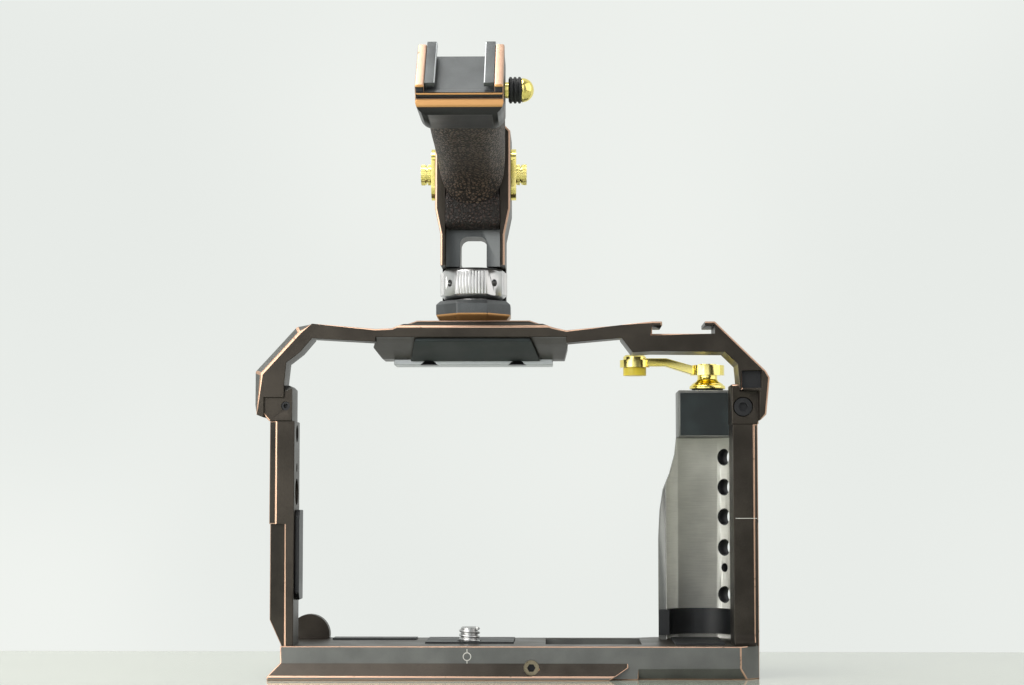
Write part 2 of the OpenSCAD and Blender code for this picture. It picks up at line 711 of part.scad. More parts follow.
// Window through the riser, round at its top
module window() {
    w = window_w / 2;
    r = window_r;
    z = window_top - r;
    xz(riser_y0 - 1, riser_y1 + 1) {
        square_at([hump_x - w, cavity_top - 1], [hump_x + w, z]);
        square_at([hump_x - w + r, z - eps], [hump_x + w - r, window_top]);
        for (s = [-1, 1]) translate([hump_x + s * (w - r), z]) circle(r);
    }
}
window_top = 124;
window_r = 2.4;
module handle_frame() {
    color(gunmetal) difference() {
        riser();
        xy(foot_top - 1, cavity_top) {
            translate([hump_x, handle_y]) circle(ring_r + 0.5);
            square_at([hump_x - 12, riser_y0 - 1], [hump_x + 12, handle_y]);
        }
        xcyl(1.5, hump_x - cheek_half - 1, hump_x - 5, plate_y, plate_z);
        xcyl(1.5, hump_x + 5, hump_x + cheek_half + 1, plate_y, plate_z);
    }
}
module lock_ring() {
    z = ring_z;
    r = ring_r;
    color(steel) difference() {
        union() {
            zcyl(r, z + 1.1, z + ring_h - 1.1, hump_x, handle_y);
            translate([hump_x, handle_y, z]) cylinder(r1 = r - 1.1, r2 = r, h = 1.1);
            translate([hump_x, handle_y, z + ring_h - 1.1]) cylinder(r1 = r, r2 = r - 1.1, h = 1.1);
        }
        zcyl(4, z - 1, z + ring_h + 1, hump_x, handle_y);
        for (a = [-137:90:133]) translate([hump_x, handle_y, z + ring_h / 2]) rotate([0, 0, a]) {
            translate([r - 0.35, -3, -ring_h]) cube([2, 6, 2 * ring_h]);
            xcyl(1.1, r - 3, r, 0, 0);
        }
    }
}
module mounting_screw() {
    color(steel) union() {
        zcyl(mount_r, below(8), ring_z, hump_x, handle_y);
        zcyl(4, ring_z - eps, ring_z + ring_h, hump_x, handle_y);
    }
}
plate_y = riser_y0 + 11;
plate_z = 143.9;
plate_t = 1.6;
// Rounded side plate, from x0 to x1
module side_plate(x0, x1) {
    w = 8;
    rise = 4;
    difference() {
        union() {
            xcyl(w / 2, x0, x1, plate_y, plate_z - rise);
            xcyl(w / 2, x0, x1, plate_y, plate_z + rise);
            box([x0, plate_y - w / 2, plate_z - rise], [x1, plate_y + w / 2, plate_z + rise]);
        }
        xcyl(1.5 + run_fit, x0 - 1, x1 + 1, plate_y, plate_z);
    }
}
module side_plate_left() {
    x = hump_x - cheek_half;
    color(gold) side_plate(x - plate_t, x);
}
module side_plate_right() {
    x = hump_x + cheek_half;
    color(gold) side_plate(x, x + plate_t);
}
// Thumb screw that points to +X: a grooved head on a shank
module thumb_screw() {
    head_x = cheek_half + plate_t + 0.05;
    difference() {
        union() {
            xcyl(thumb_r, head_x, head_x + 1.1, 0, 0);
            xcyl(thumb_r - 0.5, head_x + 1, head_x + 1.6, 0, 0);
            xcyl(thumb_r, head_x + 1.5, head_x + 3.2, 0, 0);
            xcyl(1.5 - run_fit, 5.5, head_x + eps, 0, 0);
        }
        translate([head_x + 2, 0, 0]) rotate([0, 90, 0]) cylinder(r = 1.3, h = 2, $fn = 6);
    }
}
module thumb_screw_right() {
    color(gold) translate([hump_x, plate_y, plate_z]) thumb_screw();
}
module thumb_screw_left() {
    color(gold) translate([hump_x, plate_y, plate_z]) rotate([0, 0, 180]) thumb_screw();
}
// Round-bottomed section of the leather grip, as a thin slice
module grip_slice(y, low, half) {
    r = 7;
    top = grip_high - 5;
    translate([hump_x, y, 0]) {
        for (s = [-1, 1]) translate([s * (half - r), 0, low + r]) rotate([-90, 0, 0])
            cylinder(r = r, h = 0.5, $fn = 32);
        translate([-half, 0, top - 2]) cube([2 * half, 0.5, 2]);
    }
}
module leather_upper() {
    y0 = nose_y;
    y1 = riser_y0 - 0.5;
    mid = y1 - 14;
    color(leather) difference() {
        union() {
            hull() {
                grip_slice(y0, nose_low, leather_half - 0.8);
                grip_slice((y0 + mid) / 2, grip_low + 1, leather_half);
            }
            hull() {
                grip_slice((y0 + mid) / 2, grip_low + 1, leather_half);
                grip_slice(mid, grip_low - 0.5, leather_half);
            }
            hull() {
                grip_slice(mid, grip_low - 0.5, leather_half);
                grip_slice(y1, grip_low - 4, leather_half - 1.4);
            }
        }
        box([hump_x - 8, y0 - 1, grip_high - spine_h], [hump_x + 8, y1 + 1, grip_high]);
        box([hump_x - 12, y0 - 1, grip_high - 5], [hump_x + 12, y1 + 1, grip_high]);
    }
}
module leather_lower() {
    inner = riser_half - cheek_t;
    y0 = riser_y0;
    color(leather) yz(hump_x - inner, hump_x + inner)
        polygon([[y0 + pocket_d, leather_foot], [y0 + 0.5, leather_foot], [y0 - 1.5, leather_foot + 1.5],
            [y0 - 1.5, grip_low - 6], [y0, grip_low - 4.5], [y0, grip_high - spine_h],
            [y0 + pocket_d, grip_high - spine_h]]);
}

// ---- nose block with the sloping shoe ----
slope_y = nose_y - 22;
slope_z = nose_low + 5.1;
rail_in = 6.5;                      // half of the gap between the two rails
slot_half = 9.3;
wall_up = 3.9;
// Frame of the sloping shoe: +Y runs up the slope, +Z stands square to it
module on_slope() {
    translate([hump_x, slope_y, slope_z]) rotate([nose_tilt, 0, 0]) children();
}
module nose_front() {
    w = nose_w / 2;
    r = 3.5;
    square_at([hump_x - w, nose_low + r], [hump_x + w, grip_high + 6]);
    square_at([hump_x - w + r, nose_low], [hump_x + w - r, nose_low + r]);
    for (s = [-1, 1]) translate([hump_x + s * (w - r), nose_low + r]) circle(r);
}
module nose_block() {
    run = nose_len * cos(nose_tilt);
    rise = nose_len * sin(nose_tilt);
    w = nose_w / 2;
    low = grip_high - spine_h;
    color(gunmetal) difference() {
        intersection() {
            union() {
                yz(hump_x - w, hump_x + w) polygon([[nose_y, nose_low], [slope_y + 0.5, nose_low],
                    [slope_y - 1, nose_low + 2.2], [slope_y - 1, slope_z - 1], [slope_y, slope_z],
                    [slope_y + run, slope_z + rise], [slope_y + run + 2, slope_z + rise],
                    [nose_y - 1, grip_high], [nose_y, grip_high - 1]]);
                on_slope() {
                    for (s = [-1, 1]) box([s * (w + slot_half) / 2 - (w - slot_half) / 2, -1, -3],
                        [s * (w + slot_half) / 2 + (w - slot_half) / 2, nose_len, wall_up]);
                    box([-w, -1.2, -2], [w, 0.6, 1.6]);
                }
            }
            xz(slope_y - 8, nose_y) nose_front();
        }
        box([hump_x - 6, nose_y - 6, low], [hump_x + 6, nose_y + eps, low + 7]);
        for (x = nose_screw_xs) {
            zcyl(1.2, low, grip_high + 2, x, nose_y - 3);
            zcyl(2.2, grip_high - 2, grip_high + 4, x, nose_y - 3);
        }
        xcyl(1.5 + run_fit, hump_x + w - 3, hump_x + w + eps, knob_y, knob_z);
    }
}
// The two black rails under whose lips an accessory foot slides
module shoe_rails() {
    color([0.10, 0.10, 0.11]) on_slope() for (s = [0, 1]) mirror([s, 0, 0]) {
        box([rail_in, 0.7, 2.3], [slot_half, nose_len + 1.8, 3.7]);
        box([slot_half - 0.5, 0.7, 0], [slot_half, nose_len, 2.3 + eps]);
    }
}
module nose_screws() {
    color(steel) for (x = nose_screw_xs) difference() {
        union() {
            zcyl(1.2, grip_high - spine_h + 0.5, grip_high - 2 + eps, x, nose_y - 3);
            zcyl(2.1, grip_high - 2, grip_high - 0.4, x, nose_y - 3);
        }
        translate([x, nose_y - 3, grip_high - 1.4]) cylinder(r = 1.1, h = 2, $fn = 6);
    }
}
knob_y = nose_y - 7.5;
knob_z = grip_high - 8.5;
knob_x = hump_x + nose_w / 2;
module knob_stud() {
    color(gold) union() {
        xcyl(1.5, knob_x - 2.8, knob_x + 2, knob_y, knob_z);
        xcyl(2.2, knob_x + 0.1, knob_x + 1, knob_y, knob_z);
    }
}
module knob_grip() {
    color([0.08, 0.08, 0.09]) difference() {
        union() {
            xcyl(3.2, knob_x + 1, knob_x + 4.6, knob_y, knob_z);
            for (i = [0:2]) xcyl(3.6, knob_x + 1.2 + i * 1.2, knob_x + 1.9 + i * 1.2, knob_y, knob_z);
        }
        xcyl(1.5, knob_x, knob_x + 2, knob_y, knob_z);
    }
}
module knob_dome() {
    color(gold) translate([knob_x + 4.6, knob_y, knob_z]) rotate([0, 90, 0]) rotate_extrude()
        intersection() {
            circle(3.3);
            square(4);
        }
}

lower_frame();
base_pads();
rear_hex_screw();
camera_screw();
screw_washer();
left_inner_pad();
top_arch();
left_set_screw();
right_cap_screw();
hump_pad();
lip_plate();
lip_screws();
grip_shell();
grip_top_pad();
grip_bottom_pad();
grip_screws();
lever_washer();
lever_base();
lever_screw();
lever_arm();
button_cap();
button_pad();
button_spring();
handle_foot();
handle_frame();
lock_ring();
mounting_screw();
leather_upper();
leather_lower();
side_plate_left();
side_plate_right();
thumb_screw_left();
thumb_screw_right();
nose_block();
shoe_rails();
nose_screws();
knob_stud();
knob_grip();
knob_dome();
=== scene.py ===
"""A camera cage with a top handle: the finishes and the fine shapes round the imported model.

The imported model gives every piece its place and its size. This script dresses it: metal pieces
get rounded, worn edges, and the leather, the lock ring, the screws and the lever get fuller meshes.
The pieces' sizes are in mm and degrees, and the studio's in metres, unless a comment says otherwise.
"""

import json
import logging
import math
from dataclasses import dataclass
from enum import Enum
from typing import Any, Callable, Iterable

import bmesh
import bpy
from mathutils import Matrix, Vector

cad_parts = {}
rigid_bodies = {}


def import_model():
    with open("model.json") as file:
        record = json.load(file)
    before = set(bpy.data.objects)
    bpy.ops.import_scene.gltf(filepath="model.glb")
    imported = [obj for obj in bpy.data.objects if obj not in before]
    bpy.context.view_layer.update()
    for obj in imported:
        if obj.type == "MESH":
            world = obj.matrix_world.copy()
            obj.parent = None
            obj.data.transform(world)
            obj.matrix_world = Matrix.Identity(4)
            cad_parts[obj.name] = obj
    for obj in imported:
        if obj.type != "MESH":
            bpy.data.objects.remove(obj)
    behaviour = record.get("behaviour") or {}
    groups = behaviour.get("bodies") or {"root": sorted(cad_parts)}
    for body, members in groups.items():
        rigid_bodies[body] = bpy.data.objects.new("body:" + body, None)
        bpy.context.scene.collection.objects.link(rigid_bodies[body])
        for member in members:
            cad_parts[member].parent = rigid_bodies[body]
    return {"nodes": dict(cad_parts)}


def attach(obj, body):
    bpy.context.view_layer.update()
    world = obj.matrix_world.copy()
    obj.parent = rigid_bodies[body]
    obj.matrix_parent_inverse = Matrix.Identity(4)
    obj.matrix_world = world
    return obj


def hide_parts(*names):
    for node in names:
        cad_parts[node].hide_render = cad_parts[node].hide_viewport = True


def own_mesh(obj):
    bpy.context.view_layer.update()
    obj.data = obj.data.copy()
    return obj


LOG = logging.getLogger("cage")
MM = 0.001
Colour = tuple[float, float, float]
Point = tuple[float, float, float]
Pair = tuple[float, float]
Ring = list[Vector]
Rule = Callable[[Vector, Vector], bool]
GLOSS_SPAN = (0.3, 0.7)  # the part of a cloud's range over which the gloss changes
TONE_SPAN = (0.35, 0.65)  # the part over which the tone changes


# ---------------------------------------------------------------- shader expressions
class Expr:
    """A number that varies over a surface, written with Python's operators."""

    def __init__(self, graph: "Graph", socket: bpy.types.NodeSocket) -> None:
        """Wraps one output socket of a graph."""
        self.graph = graph
        self.socket = socket

    def _math(self, operation: str, *values: Any) -> "Expr":
        """Adds one Math node.

        Args:
            operation: the node's operation.
            values: its inputs in order, as numbers or expressions.

        Returns:
            The node's value.
        """
        return self.graph.value("ShaderNodeMath", {"operation": operation}, dict(enumerate(values)))

    def __add__(self, other: Any) -> "Expr":
        """Adds."""
        return self._math("ADD", self, other)

    def __rsub__(self, other: Any) -> "Expr":
        """Subtracts this from a number."""
        return self._math("SUBTRACT", other, self)

    def __mul__(self, other: Any) -> "Expr":
        """Multiplies."""
        return self._math("MULTIPLY", self, other)

    def ramp(self, low: float, high: float) -> "Expr":
        """Runs from 0 at low to 1 at high, and is held there outside them."""
        node = self.graph.node(
            "ShaderNodeMapRange",
            {"interpolation_type": "SMOOTHSTEP"},
            {"Value": self, "From Min": low, "From Max": high},
        )
        return Expr(self.graph, node.outputs["Result"])


class Tree:
    """A node tree that is being made."""

    def __init__(self, tree: bpy.types.NodeTree) -> None:
        """Wraps the tree."""
        self.tree = tree

    def node(
        self, kind: str, settings: dict[str, Any] | None = None, values: dict[Any, Any] | None = None
    ) -> bpy.types.Node:
        """Adds a node.

        Args:
            kind: the node's type.
            settings: its properties, which are set first.
            values: its inputs by name or number, as constants, sockets or expressions.

        Returns:
            The node.
        """
        made = self.tree.nodes.new(kind)
        for key, setting in (settings or {}).items():
            setattr(made, key, setting)
        for key, value in (values or {}).items():
            self.feed(made.inputs[key], value)
        return made

    def feed(self, socket: bpy.types.NodeSocket, value: Any) -> None:
        """Sets or links one input socket."""
        if isinstance(value, Expr):
            value = value.socket
        if isinstance(value, bpy.types.NodeSocket):
            self.tree.links.new(value, socket)
        elif isinstance(value, tuple) and len(value) == 3 and socket.type == "RGBA":
            socket.default_value = (*value, 1.0)
        else:
            socket.default_value = value


class Graph(Tree):
    """One material's node tree, round a Principled shader."""

    def __init__(self, name: str) -> None:
        """Makes a new material and finds its shader."""
        self.material = bpy.data.materials.new(name)
        self.material.use_nodes = True
        super().__init__(self.material.node_tree)
        self.shader = self.tree.nodes["Principled BSDF"]
        self.place = self.node("ShaderNodeTexCoord").outputs["Object"]

    def value(self, kind: str, settings: dict[str, Any] | None, values: dict[Any, Any]) -> Expr:
        """Adds a node and returns its first output as an expression."""
        return Expr(self, self.node(kind, settings, values).outputs[0])

    def noise(self, scale: float, detail: float, stretch: Point = (1, 1, 1)) -> Expr:
        """Cloudy noise over the object's own coordinates.

        Args:
            scale: how many waves there are in a metre.
            detail: how many finer layers it has.
            stretch: a scale for each axis, for brushed lines.

        Returns:
            The noise, about 0 to 1.
        """
        place = self.place
        if stretch != (1, 1, 1):
            place = self.node("ShaderNodeMapping", None, {"Vector": place, "Scale": stretch}).outputs[0]
        return self.value("ShaderNodeTexNoise", None, {"Vector": place, "Scale": scale, "Detail": detail})

    def mix(self, amount: Expr, first: Colour, second: Colour) -> bpy.types.NodeSocket:
        """Blends two colours by an expression."""
        made = self.node("ShaderNodeMix", {"data_type": "RGBA"}, {0: amount, 6: first, 7: second})
        return made.outputs[2]

    def bump(self, height: Expr, depth: float) -> None:
        """Raises the surface by an expression, depth metres high."""
        made = self.node("ShaderNodeBump", None, {"Height": height, "Distance": depth, "Strength": 1.0})
        self.feed(self.shader.inputs["Normal"], made.outputs[0])

    def set(self, **values: Any) -> None:
        """Sets the shader's sockets: base_color, roughness, metallic and so on."""
        for key, value in values.items():
            self.feed(self.shader.inputs[key.replace("_", " ").title()], value)

    def gloss(self, cloud: Expr, rough: float, spread: float) -> None:
        """Lets the roughness vary with a cloud, over a spread round its middle value."""
        self.set(roughness=cloud.ramp(*GLOSS_SPAN) * spread + (rough - spread / 2))


# ---------------------------------------------------------------- finishes
@dataclass(frozen=True)
class Metal:
    """A metal finish with cloudy tone, fine grain and varied gloss."""

    name: str
    dark: Colour
    light: Colour
    rough: float
    metallic: float = 1.0
    grain: float = 0.00002
    grain_scale: float = 4500.0
    stretch: Point = (1, 1, 1)
    cloud_scale: float = 90.0
    grain_share: float = 0.3
    spread: float = 0.1

    def build(self) -> bpy.types.Material:
        """Builds the material."""
        g = Graph(self.name)
        cloud = g.noise(self.cloud_scale, 4.0)
        grain = g.noise(self.grain_scale, 2.0, self.stretch)
        tone = (cloud * (1 - self.grain_share) + grain * self.grain_share).ramp(*TONE_SPAN)
        g.set(base_color=g.mix(tone, self.dark, self.light), metallic=self.metallic)
        g.gloss(cloud, self.rough, self.spread)
        g.bump(grain, self.grain)
        return g.material


@dataclass(frozen=True)
class WornEdge:
    """Bare copper-coloured edge with the dark finish left in patches."""

    name: str
    bare: Colour
    left: Colour
    cover: float
    patch_scale: float = 420.0
    left_rough: float = 0.46
    polish: float = 0.12
    grain: float = 0.00002
    grain_scale: float = 5000.0

    def build(self) -> bpy.types.Material:
        """Builds the material."""
        g = Graph(self.name)
        patches = g.noise(self.patch_scale, 5.0).ramp(self.cover - 0.07, self.cover + 0.05)
        g.set(base_color=g.mix(patches, self.left, self.bare), metallic=0.85)
        g.set(roughness=self.left_rough - patches * self.polish)
        g.bump(g.noise(self.grain_scale, 2.0), self.grain)
        return g.material


@dataclass(frozen=True)
class Soft:
    """Rubber or plastic: a plain colour with a faint bloom and a fine matt grain."""

    name: str
    colour: Colour
    bloom: Colour
    rough: float
    spread: float = 0.12
    cloud_scale: float = 140.0
    grain: float = 0.00003
    grain_scale: float = 5200.0

    def build(self) -> bpy.types.Material:
        """Builds the material."""
        g = Graph(self.name)
        cloud = g.noise(self.cloud_scale, 4.0)
        g.set(base_color=g.mix(cloud.ramp(0.4, 0.75), self.colour, self.bloom))
        g.gloss(cloud, self.rough, self.spread)
        g.bump(g.noise(self.grain_scale, 2.0), self.grain)
        return g.material


@dataclass(frozen=True)
class Hide:
    """Pebbled leather: small rounded cells, dark in the creases."""

    name: str
    crease: Colour
    crown: Colour
    cells: float = 900.0
    wander: float = 0.0007
    relief: float = 0.00024

    def build(self) -> bpy.types.Material:
        """Builds the material."""
        g = Graph(self.name)
        drift = g.node("ShaderNodeTexNoise", None, {"Vector": g.place, "Scale": 500.0, "Detail": 3.0})
        shifted = g.node(
            "ShaderNodeVectorMath",
            {"operation": "MULTIPLY_ADD"},
            {0: drift.outputs["Color"], 1: (self.wander,) * 3, 2: g.place},
        )
        cell = g.node(
            "ShaderNodeTexVoronoi",
            {"feature": "DISTANCE_TO_EDGE"},
            {"Vector": shifted.outputs[0], "Scale": self.cells},
        )
        pebble = Expr(g, cell.outputs["Distance"]).ramp(0.0, 0.3)
        handled = g.noise(70.0, 3.0)
        tone = (pebble * 0.7 + handled * 0.45).ramp(0.30, 1.05)
        g.set(base_color=g.mix(tone, self.crease, self.crown), roughness=0.70 - pebble * 0.16)
        g.set(coat_weight=handled.ramp(0.4, 0.7) * 0.03)
        g.bump(pebble + g.noise(3800.0, 3.0) * 0.3, self.relief)
        return g.material


class Finish(Enum):
    """Every finish on the cage."""

    ANODISED = Metal("anodised", (0.028, 0.023, 0.018), (0.050, 0.042, 0.034), 0.40, 0.76)
    # A lighter copy of the anodised finish. On the base's rear faces and the arch's left flank its grey is a
    # painted reflection. The grip shell's outside and the centre mark's middle use it too.
    ANODISED_PAINTED_SHEEN = Metal("anodised_painted_sheen", (0.125, 0.127, 0.121), (0.172, 0.175, 0.167), 0.40, 0.75)
    SLATE = Metal("slate_floor", (0.070, 0.074, 0.076), (0.105, 0.112, 0.115), 0.36, 0.6)
    BRONZE = Metal("bronze_screw", (0.180, 0.150, 0.100), (0.300, 0.260, 0.180), 0.30)
    COPPER = WornEdge("worn_copper", (0.600, 0.385, 0.275), (0.110, 0.080, 0.060), 0.32)
    AMBER = WornEdge("amber_copper", (0.620, 0.330, 0.130), (0.200, 0.110, 0.060), 0.30)
    BRUSHED = Metal("brushed_shell", (0.740, 0.735, 0.690), (0.880, 0.875, 0.820), 0.48, 0.35,
                    0.000010, 4200.0, (0.04, 0.04, 1))
    GOLD = Metal("polished_gold", (0.900, 0.740, 0.180), (0.950, 0.820, 0.300), 0.16, 1.0, 0.000004, 1500.0)
    CHROME = Metal("bright_steel", (0.500, 0.500, 0.500), (0.620, 0.618, 0.610), 0.34, 1.0, 0.000006)
    # Plain alloy for the lip plate. On the shoe rails' inner edges it is a painted highlight.
    ALLOY_AND_GLINT = Metal("plain_alloy_and_glint", (0.480, 0.500, 0.515), (0.560, 0.585, 0.600), 0.42, 0.6)
    # Black steel for the black screws and the left pad. It is also painted shade in the rear screw's socket,
    # the arch's corner pocket, the grip's hole bores and under the nose.
    BLACK_STEEL_AND_SHADE = Metal("black_steel", (0.012, 0.012, 0.014), (0.028, 0.028, 0.030), 0.38, 0.5)
    RUBBER = Soft("slate_rubber", (0.010, 0.015, 0.017), (0.022, 0.031, 0.034), 0.66)
    PLASTIC = Soft("black_plastic", (0.005, 0.006, 0.007), (0.013, 0.014, 0.016), 0.46)
    YELLOW = Soft("yellow_rubber", (0.880, 0.680, 0.050), (0.930, 0.760, 0.090), 0.45)
    MARK = Soft("mark_paint", (0.620, 0.610, 0.570), (0.720, 0.710, 0.670), 0.55)
    LEATHER = Hide("brown_leather", (0.006, 0.003, 0.002), (0.130, 0.087, 0.064))
    # A darker copy of the leather for the lower panel: painted shade under the bar.
    SHADED_LEATHER = Hide("painted_shade_leather", (0.004, 0.002, 0.001), (0.030, 0.014, 0.010))


# ---------------------------------------------------------------- shapes
# Pieces with flat faces stay sharp past this angle in degrees and get evened normals. Those would show
# facets on round pieces, which are put with a wider angle of their own.
FLAT_ANGLE = 32.0
FACE_WEIGHT = 80  # how far a large face pulls the evened normals towards its own
MERGE = 0.000002  # corners closer than this in metres become one
LEVEL = 0.8  # faces that meet at less than this angle in degrees become one
EDGE_ANGLE = 25.0  # edges past this angle in degrees get rounded
SHORTEST = 1.0  # edges longer than this in mm get rounded


def new_object(name: str, data: bpy.types.ID) -> bpy.types.Object:
    """Puts a new object that shows some data into the scene."""
    made = bpy.data.objects.new(name, data)
    bpy.context.scene.collection.objects.link(made)
    return made


def shade(mesh: bpy.types.Mesh, angle: float) -> None:
    """Shades a mesh smooth, with its edges past an angle in degrees left sharp."""
    for face in mesh.polygons:
        face.use_smooth = True
    mesh.set_sharp_from_angle(angle=math.radians(angle))


def even_shading(made: bpy.types.Object) -> None:
    """Turns an object's shading normals towards its large faces, so that flat faces look flat."""
    even = made.modifiers.new("even", "WEIGHTED_NORMAL")
    even.keep_sharp = True
    even.weight = FACE_WEIGHT
    ready = made.evaluated_get(bpy.context.evaluated_depsgraph_get())
    made.data = bpy.data.meshes.new_from_object(ready)
    made.modifiers.clear()


def along_x(x: float, y: float, z: float) -> Matrix:
    """A place in metres whose own +Z points along +X."""
    return Matrix.Translation((x, y, z)) @ Matrix.Rotation(math.radians(90), 4, "Y")


class Shape:
    """A mesh being made, with one slot number a face for its finish."""

    def __init__(self) -> None:
        """Starts an empty shape."""
        self.bm = bmesh.new()

    @classmethod
    def of_node(cls, node: bpy.types.Object) -> "Shape":
        """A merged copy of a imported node's mesh, with its flat faces made whole."""
        made = cls()
        made.bm.from_mesh(node.data)
        bmesh.ops.remove_doubles(made.bm, verts=made.bm.verts, dist=MERGE)
        bmesh.ops.dissolve_limit(
            made.bm, angle_limit=math.radians(LEVEL), verts=made.bm.verts, edges=made.bm.edges
        )
        for face in made.bm.faces:
            face.material_index = 0
        return made

    def take(self, mesh: bpy.types.Mesh, at: Matrix) -> "Shape":
        """Adds a finished mesh with slot 0 at a place, and removes the mesh itself."""
        mesh.transform(at)
        first = len(self.bm.faces)
        self.bm.from_mesh(mesh)
        self.bm.faces.ensure_lookup_table()
        for face in self.bm.faces[first:]:
            face.material_index = 0
        bpy.data.meshes.remove(mesh)
        return self

    def lathe(self, profile: Iterable[Pair], at: Matrix, steps: int = 64, slot: int = 0) -> "Shape":
        """Turns a profile round the +Z of a place.

        Args:
            profile: radius and height of each point in mm, from one end to the other. An end on
                the axis closes to a point, and a profile that ends off the axis gets a flat end.
            at: where the turned shape stands.
            steps: how many faces go round.
            slot: its finish.

        Returns:
            The shape itself.
        """
        rings: list[list[bmesh.types.BMVert]] = []
        for radius, height in profile:
            turns = [0.0] if radius <= 0 else [2 * math.pi * i / steps for i in range(steps)]
            places = [(radius * MM * math.cos(t), radius * MM * math.sin(t), height * MM) for t in turns]
            rings.append([self.bm.verts.new(at @ Vector(place)) for place in places])
        made: list[bmesh.types.BMFace] = []
        for low, high in zip(rings, rings[1:]):
            for i in range(steps):
                a, b = low[i % len(low)], low[(i + 1) % len(low)]
                c, d = high[(i + 1) % len(high)], high[i % len(high)]
                corners = list(dict.fromkeys((a, b, c, d)))
                if len(corners) > 2:
                    made.append(self.bm.faces.new(corners))
        for ring in (rings[0], rings[-1]):
            if len(ring) > 1:
                made.append(self.bm.faces.new(ring))
        bmesh.ops.recalc_face_normals(self.bm, faces=made)
        for face in made:
            face.material_index = slot
        return self

    def loft(self, rings: list[Ring]) -> "Shape":
        """Joins closed outlines of equal length one after the other and closes both ends."""
        rows = [[self.bm.verts.new(place) for place in ring] for ring in rings]
        count = len(rings[0])
        made = [
            self.bm.faces.new((low[i], low[(i + 1) % count], high[(i + 1) % count], high[i]))
            for low, high in zip(rows, rows[1:]) for i in range(count)
        ]
        made += [self.bm.faces.new(rows[0]), self.bm.faces.new(rows[-1])]
        bmesh.ops.recalc_face_normals(self.bm, faces=made)
        return self

    def dress(self, rule: Rule, slot: int, only: int | None = None) -> "Shape":
        """Gives a slot to the faces that a rule picks by their place and normal.

        Args:
            rule: tells from a face's middle and normal whether it gets the slot.
            slot: the slot.
            only: if given, the slot that a face must have had before.

        Returns:
            The shape itself.
        """
        self.bm.normal_update()
        for face in self.bm.faces:
            if only in (None, face.material_index) and rule(face.calc_center_median(), face.normal):
                face.material_index = slot
        return self

    def cut_above(self, height: float) -> "Shape":
        """Removes what lies above a height in metres and closes the cut."""
        geometry = [*self.bm.verts, *self.bm.edges, *self.bm.faces]
        cut = bmesh.ops.bisect_plane(
            self.bm, geom=geometry, plane_co=(0, 0, height), plane_no=(0, 0, 1), clear_outer=True
        )
        edges = [e for e in cut["geom_cut"] if isinstance(e, bmesh.types.BMEdge)]
        bmesh.ops.holes_fill(self.bm, edges=edges)
        return self

    def bevel(
        self, edges: list[bmesh.types.BMEdge], width: float, slot: int | None, segments: int = 2
    ) -> None:
        """Rounds edges by a width in mm, and gives the new faces a slot if one is named."""
        if not edges:
            return
        made = bmesh.ops.bevel(
            self.bm, geom=edges, offset=width * MM, offset_type="OFFSET", segments=segments,
            profile=0.5, affect="EDGES", material=-1, clamp_overlap=False,
        )
        for face in made["faces"]:
            if face.is_valid and slot is not None:
                face.material_index = slot

    def outer_edges(
        self, flattest: float, shortest: float
    ) -> list[tuple[bmesh.types.BMEdge, Vector, Vector]]:
        """The outward edges past an angle in degrees and a length in mm, with middle and mean normal."""
        self.bm.normal_update()
        found = []
        for edge in self.bm.edges:
            if len(edge.link_faces) != 2 or not edge.is_convex or edge.calc_length() < shortest * MM:
                continue
            if edge.calc_face_angle() > math.radians(flattest):
                mean = (edge.link_faces[0].normal + edge.link_faces[1].normal).normalized()
                found.append((edge, (edge.verts[0].co + edge.verts[1].co) / 2, mean))
        return found

    def wear_and_glint(
        self, width: float, bare: Rule, flattest: float = EDGE_ANGLE, shortest: float = SHORTEST,
        slot_width: float = 0.5,
    ) -> "Shape":
        """Rounds the outer edges, and gives slot 1 to the edges that a rule picks: worn edges where the
        finish has worn away, and on the shoe's rails a painted highlight.

        Args:
            width: width of a plain rounding, in mm.
            bare: tells from an edge's middle and mean normal whether it gets slot 1, as a worn edge, and on
                the shoe's rails as a painted highlight.
            flattest: edges flatter than this angle in degrees stay.
            shortest: plain edges shorter than this in mm stay, and those that get slot 1 shorter than half of
                it.
            slot_width: width of an edge that gets slot 1, in mm.

        Returns:
            The shape itself.
        """
        worn = [e for e, place, mean in self.outer_edges(flattest, shortest / 2) if bare(place, mean)]
        self.bevel(worn, slot_width, 1)
        plain = [
            e for e, _, _ in self.outer_edges(flattest, shortest)
            if not any(face.material_index == 1 for face in e.link_faces)
        ]
        self.bevel(plain, width, None)
        return self

    def flank(self, width: float, rule: Rule, slot: int) -> "Shape":
        """Cuts a flat flank of a width in mm along the edges that a rule picks."""
        edges = self.outer_edges(EDGE_ANGLE, SHORTEST / 2)
        chosen = [e for e, place, mean in edges if rule(place, mean)]
        self.bevel(chosen, width, slot, 1)
        return self

    def mesh(self, name: str) -> bpy.types.Mesh:
        """The finished mesh. The shape can't be used afterwards."""
        made = bpy.data.meshes.new(name)
        self.bm.to_mesh(made)
        self.bm.free()
        return made


# ---------------------------------------------------------------- geometry nodes
ROD_SIDES = 10
RIDGE_SIDES = 8
COIL_STEPS = 48  # steps in one turn of a thread


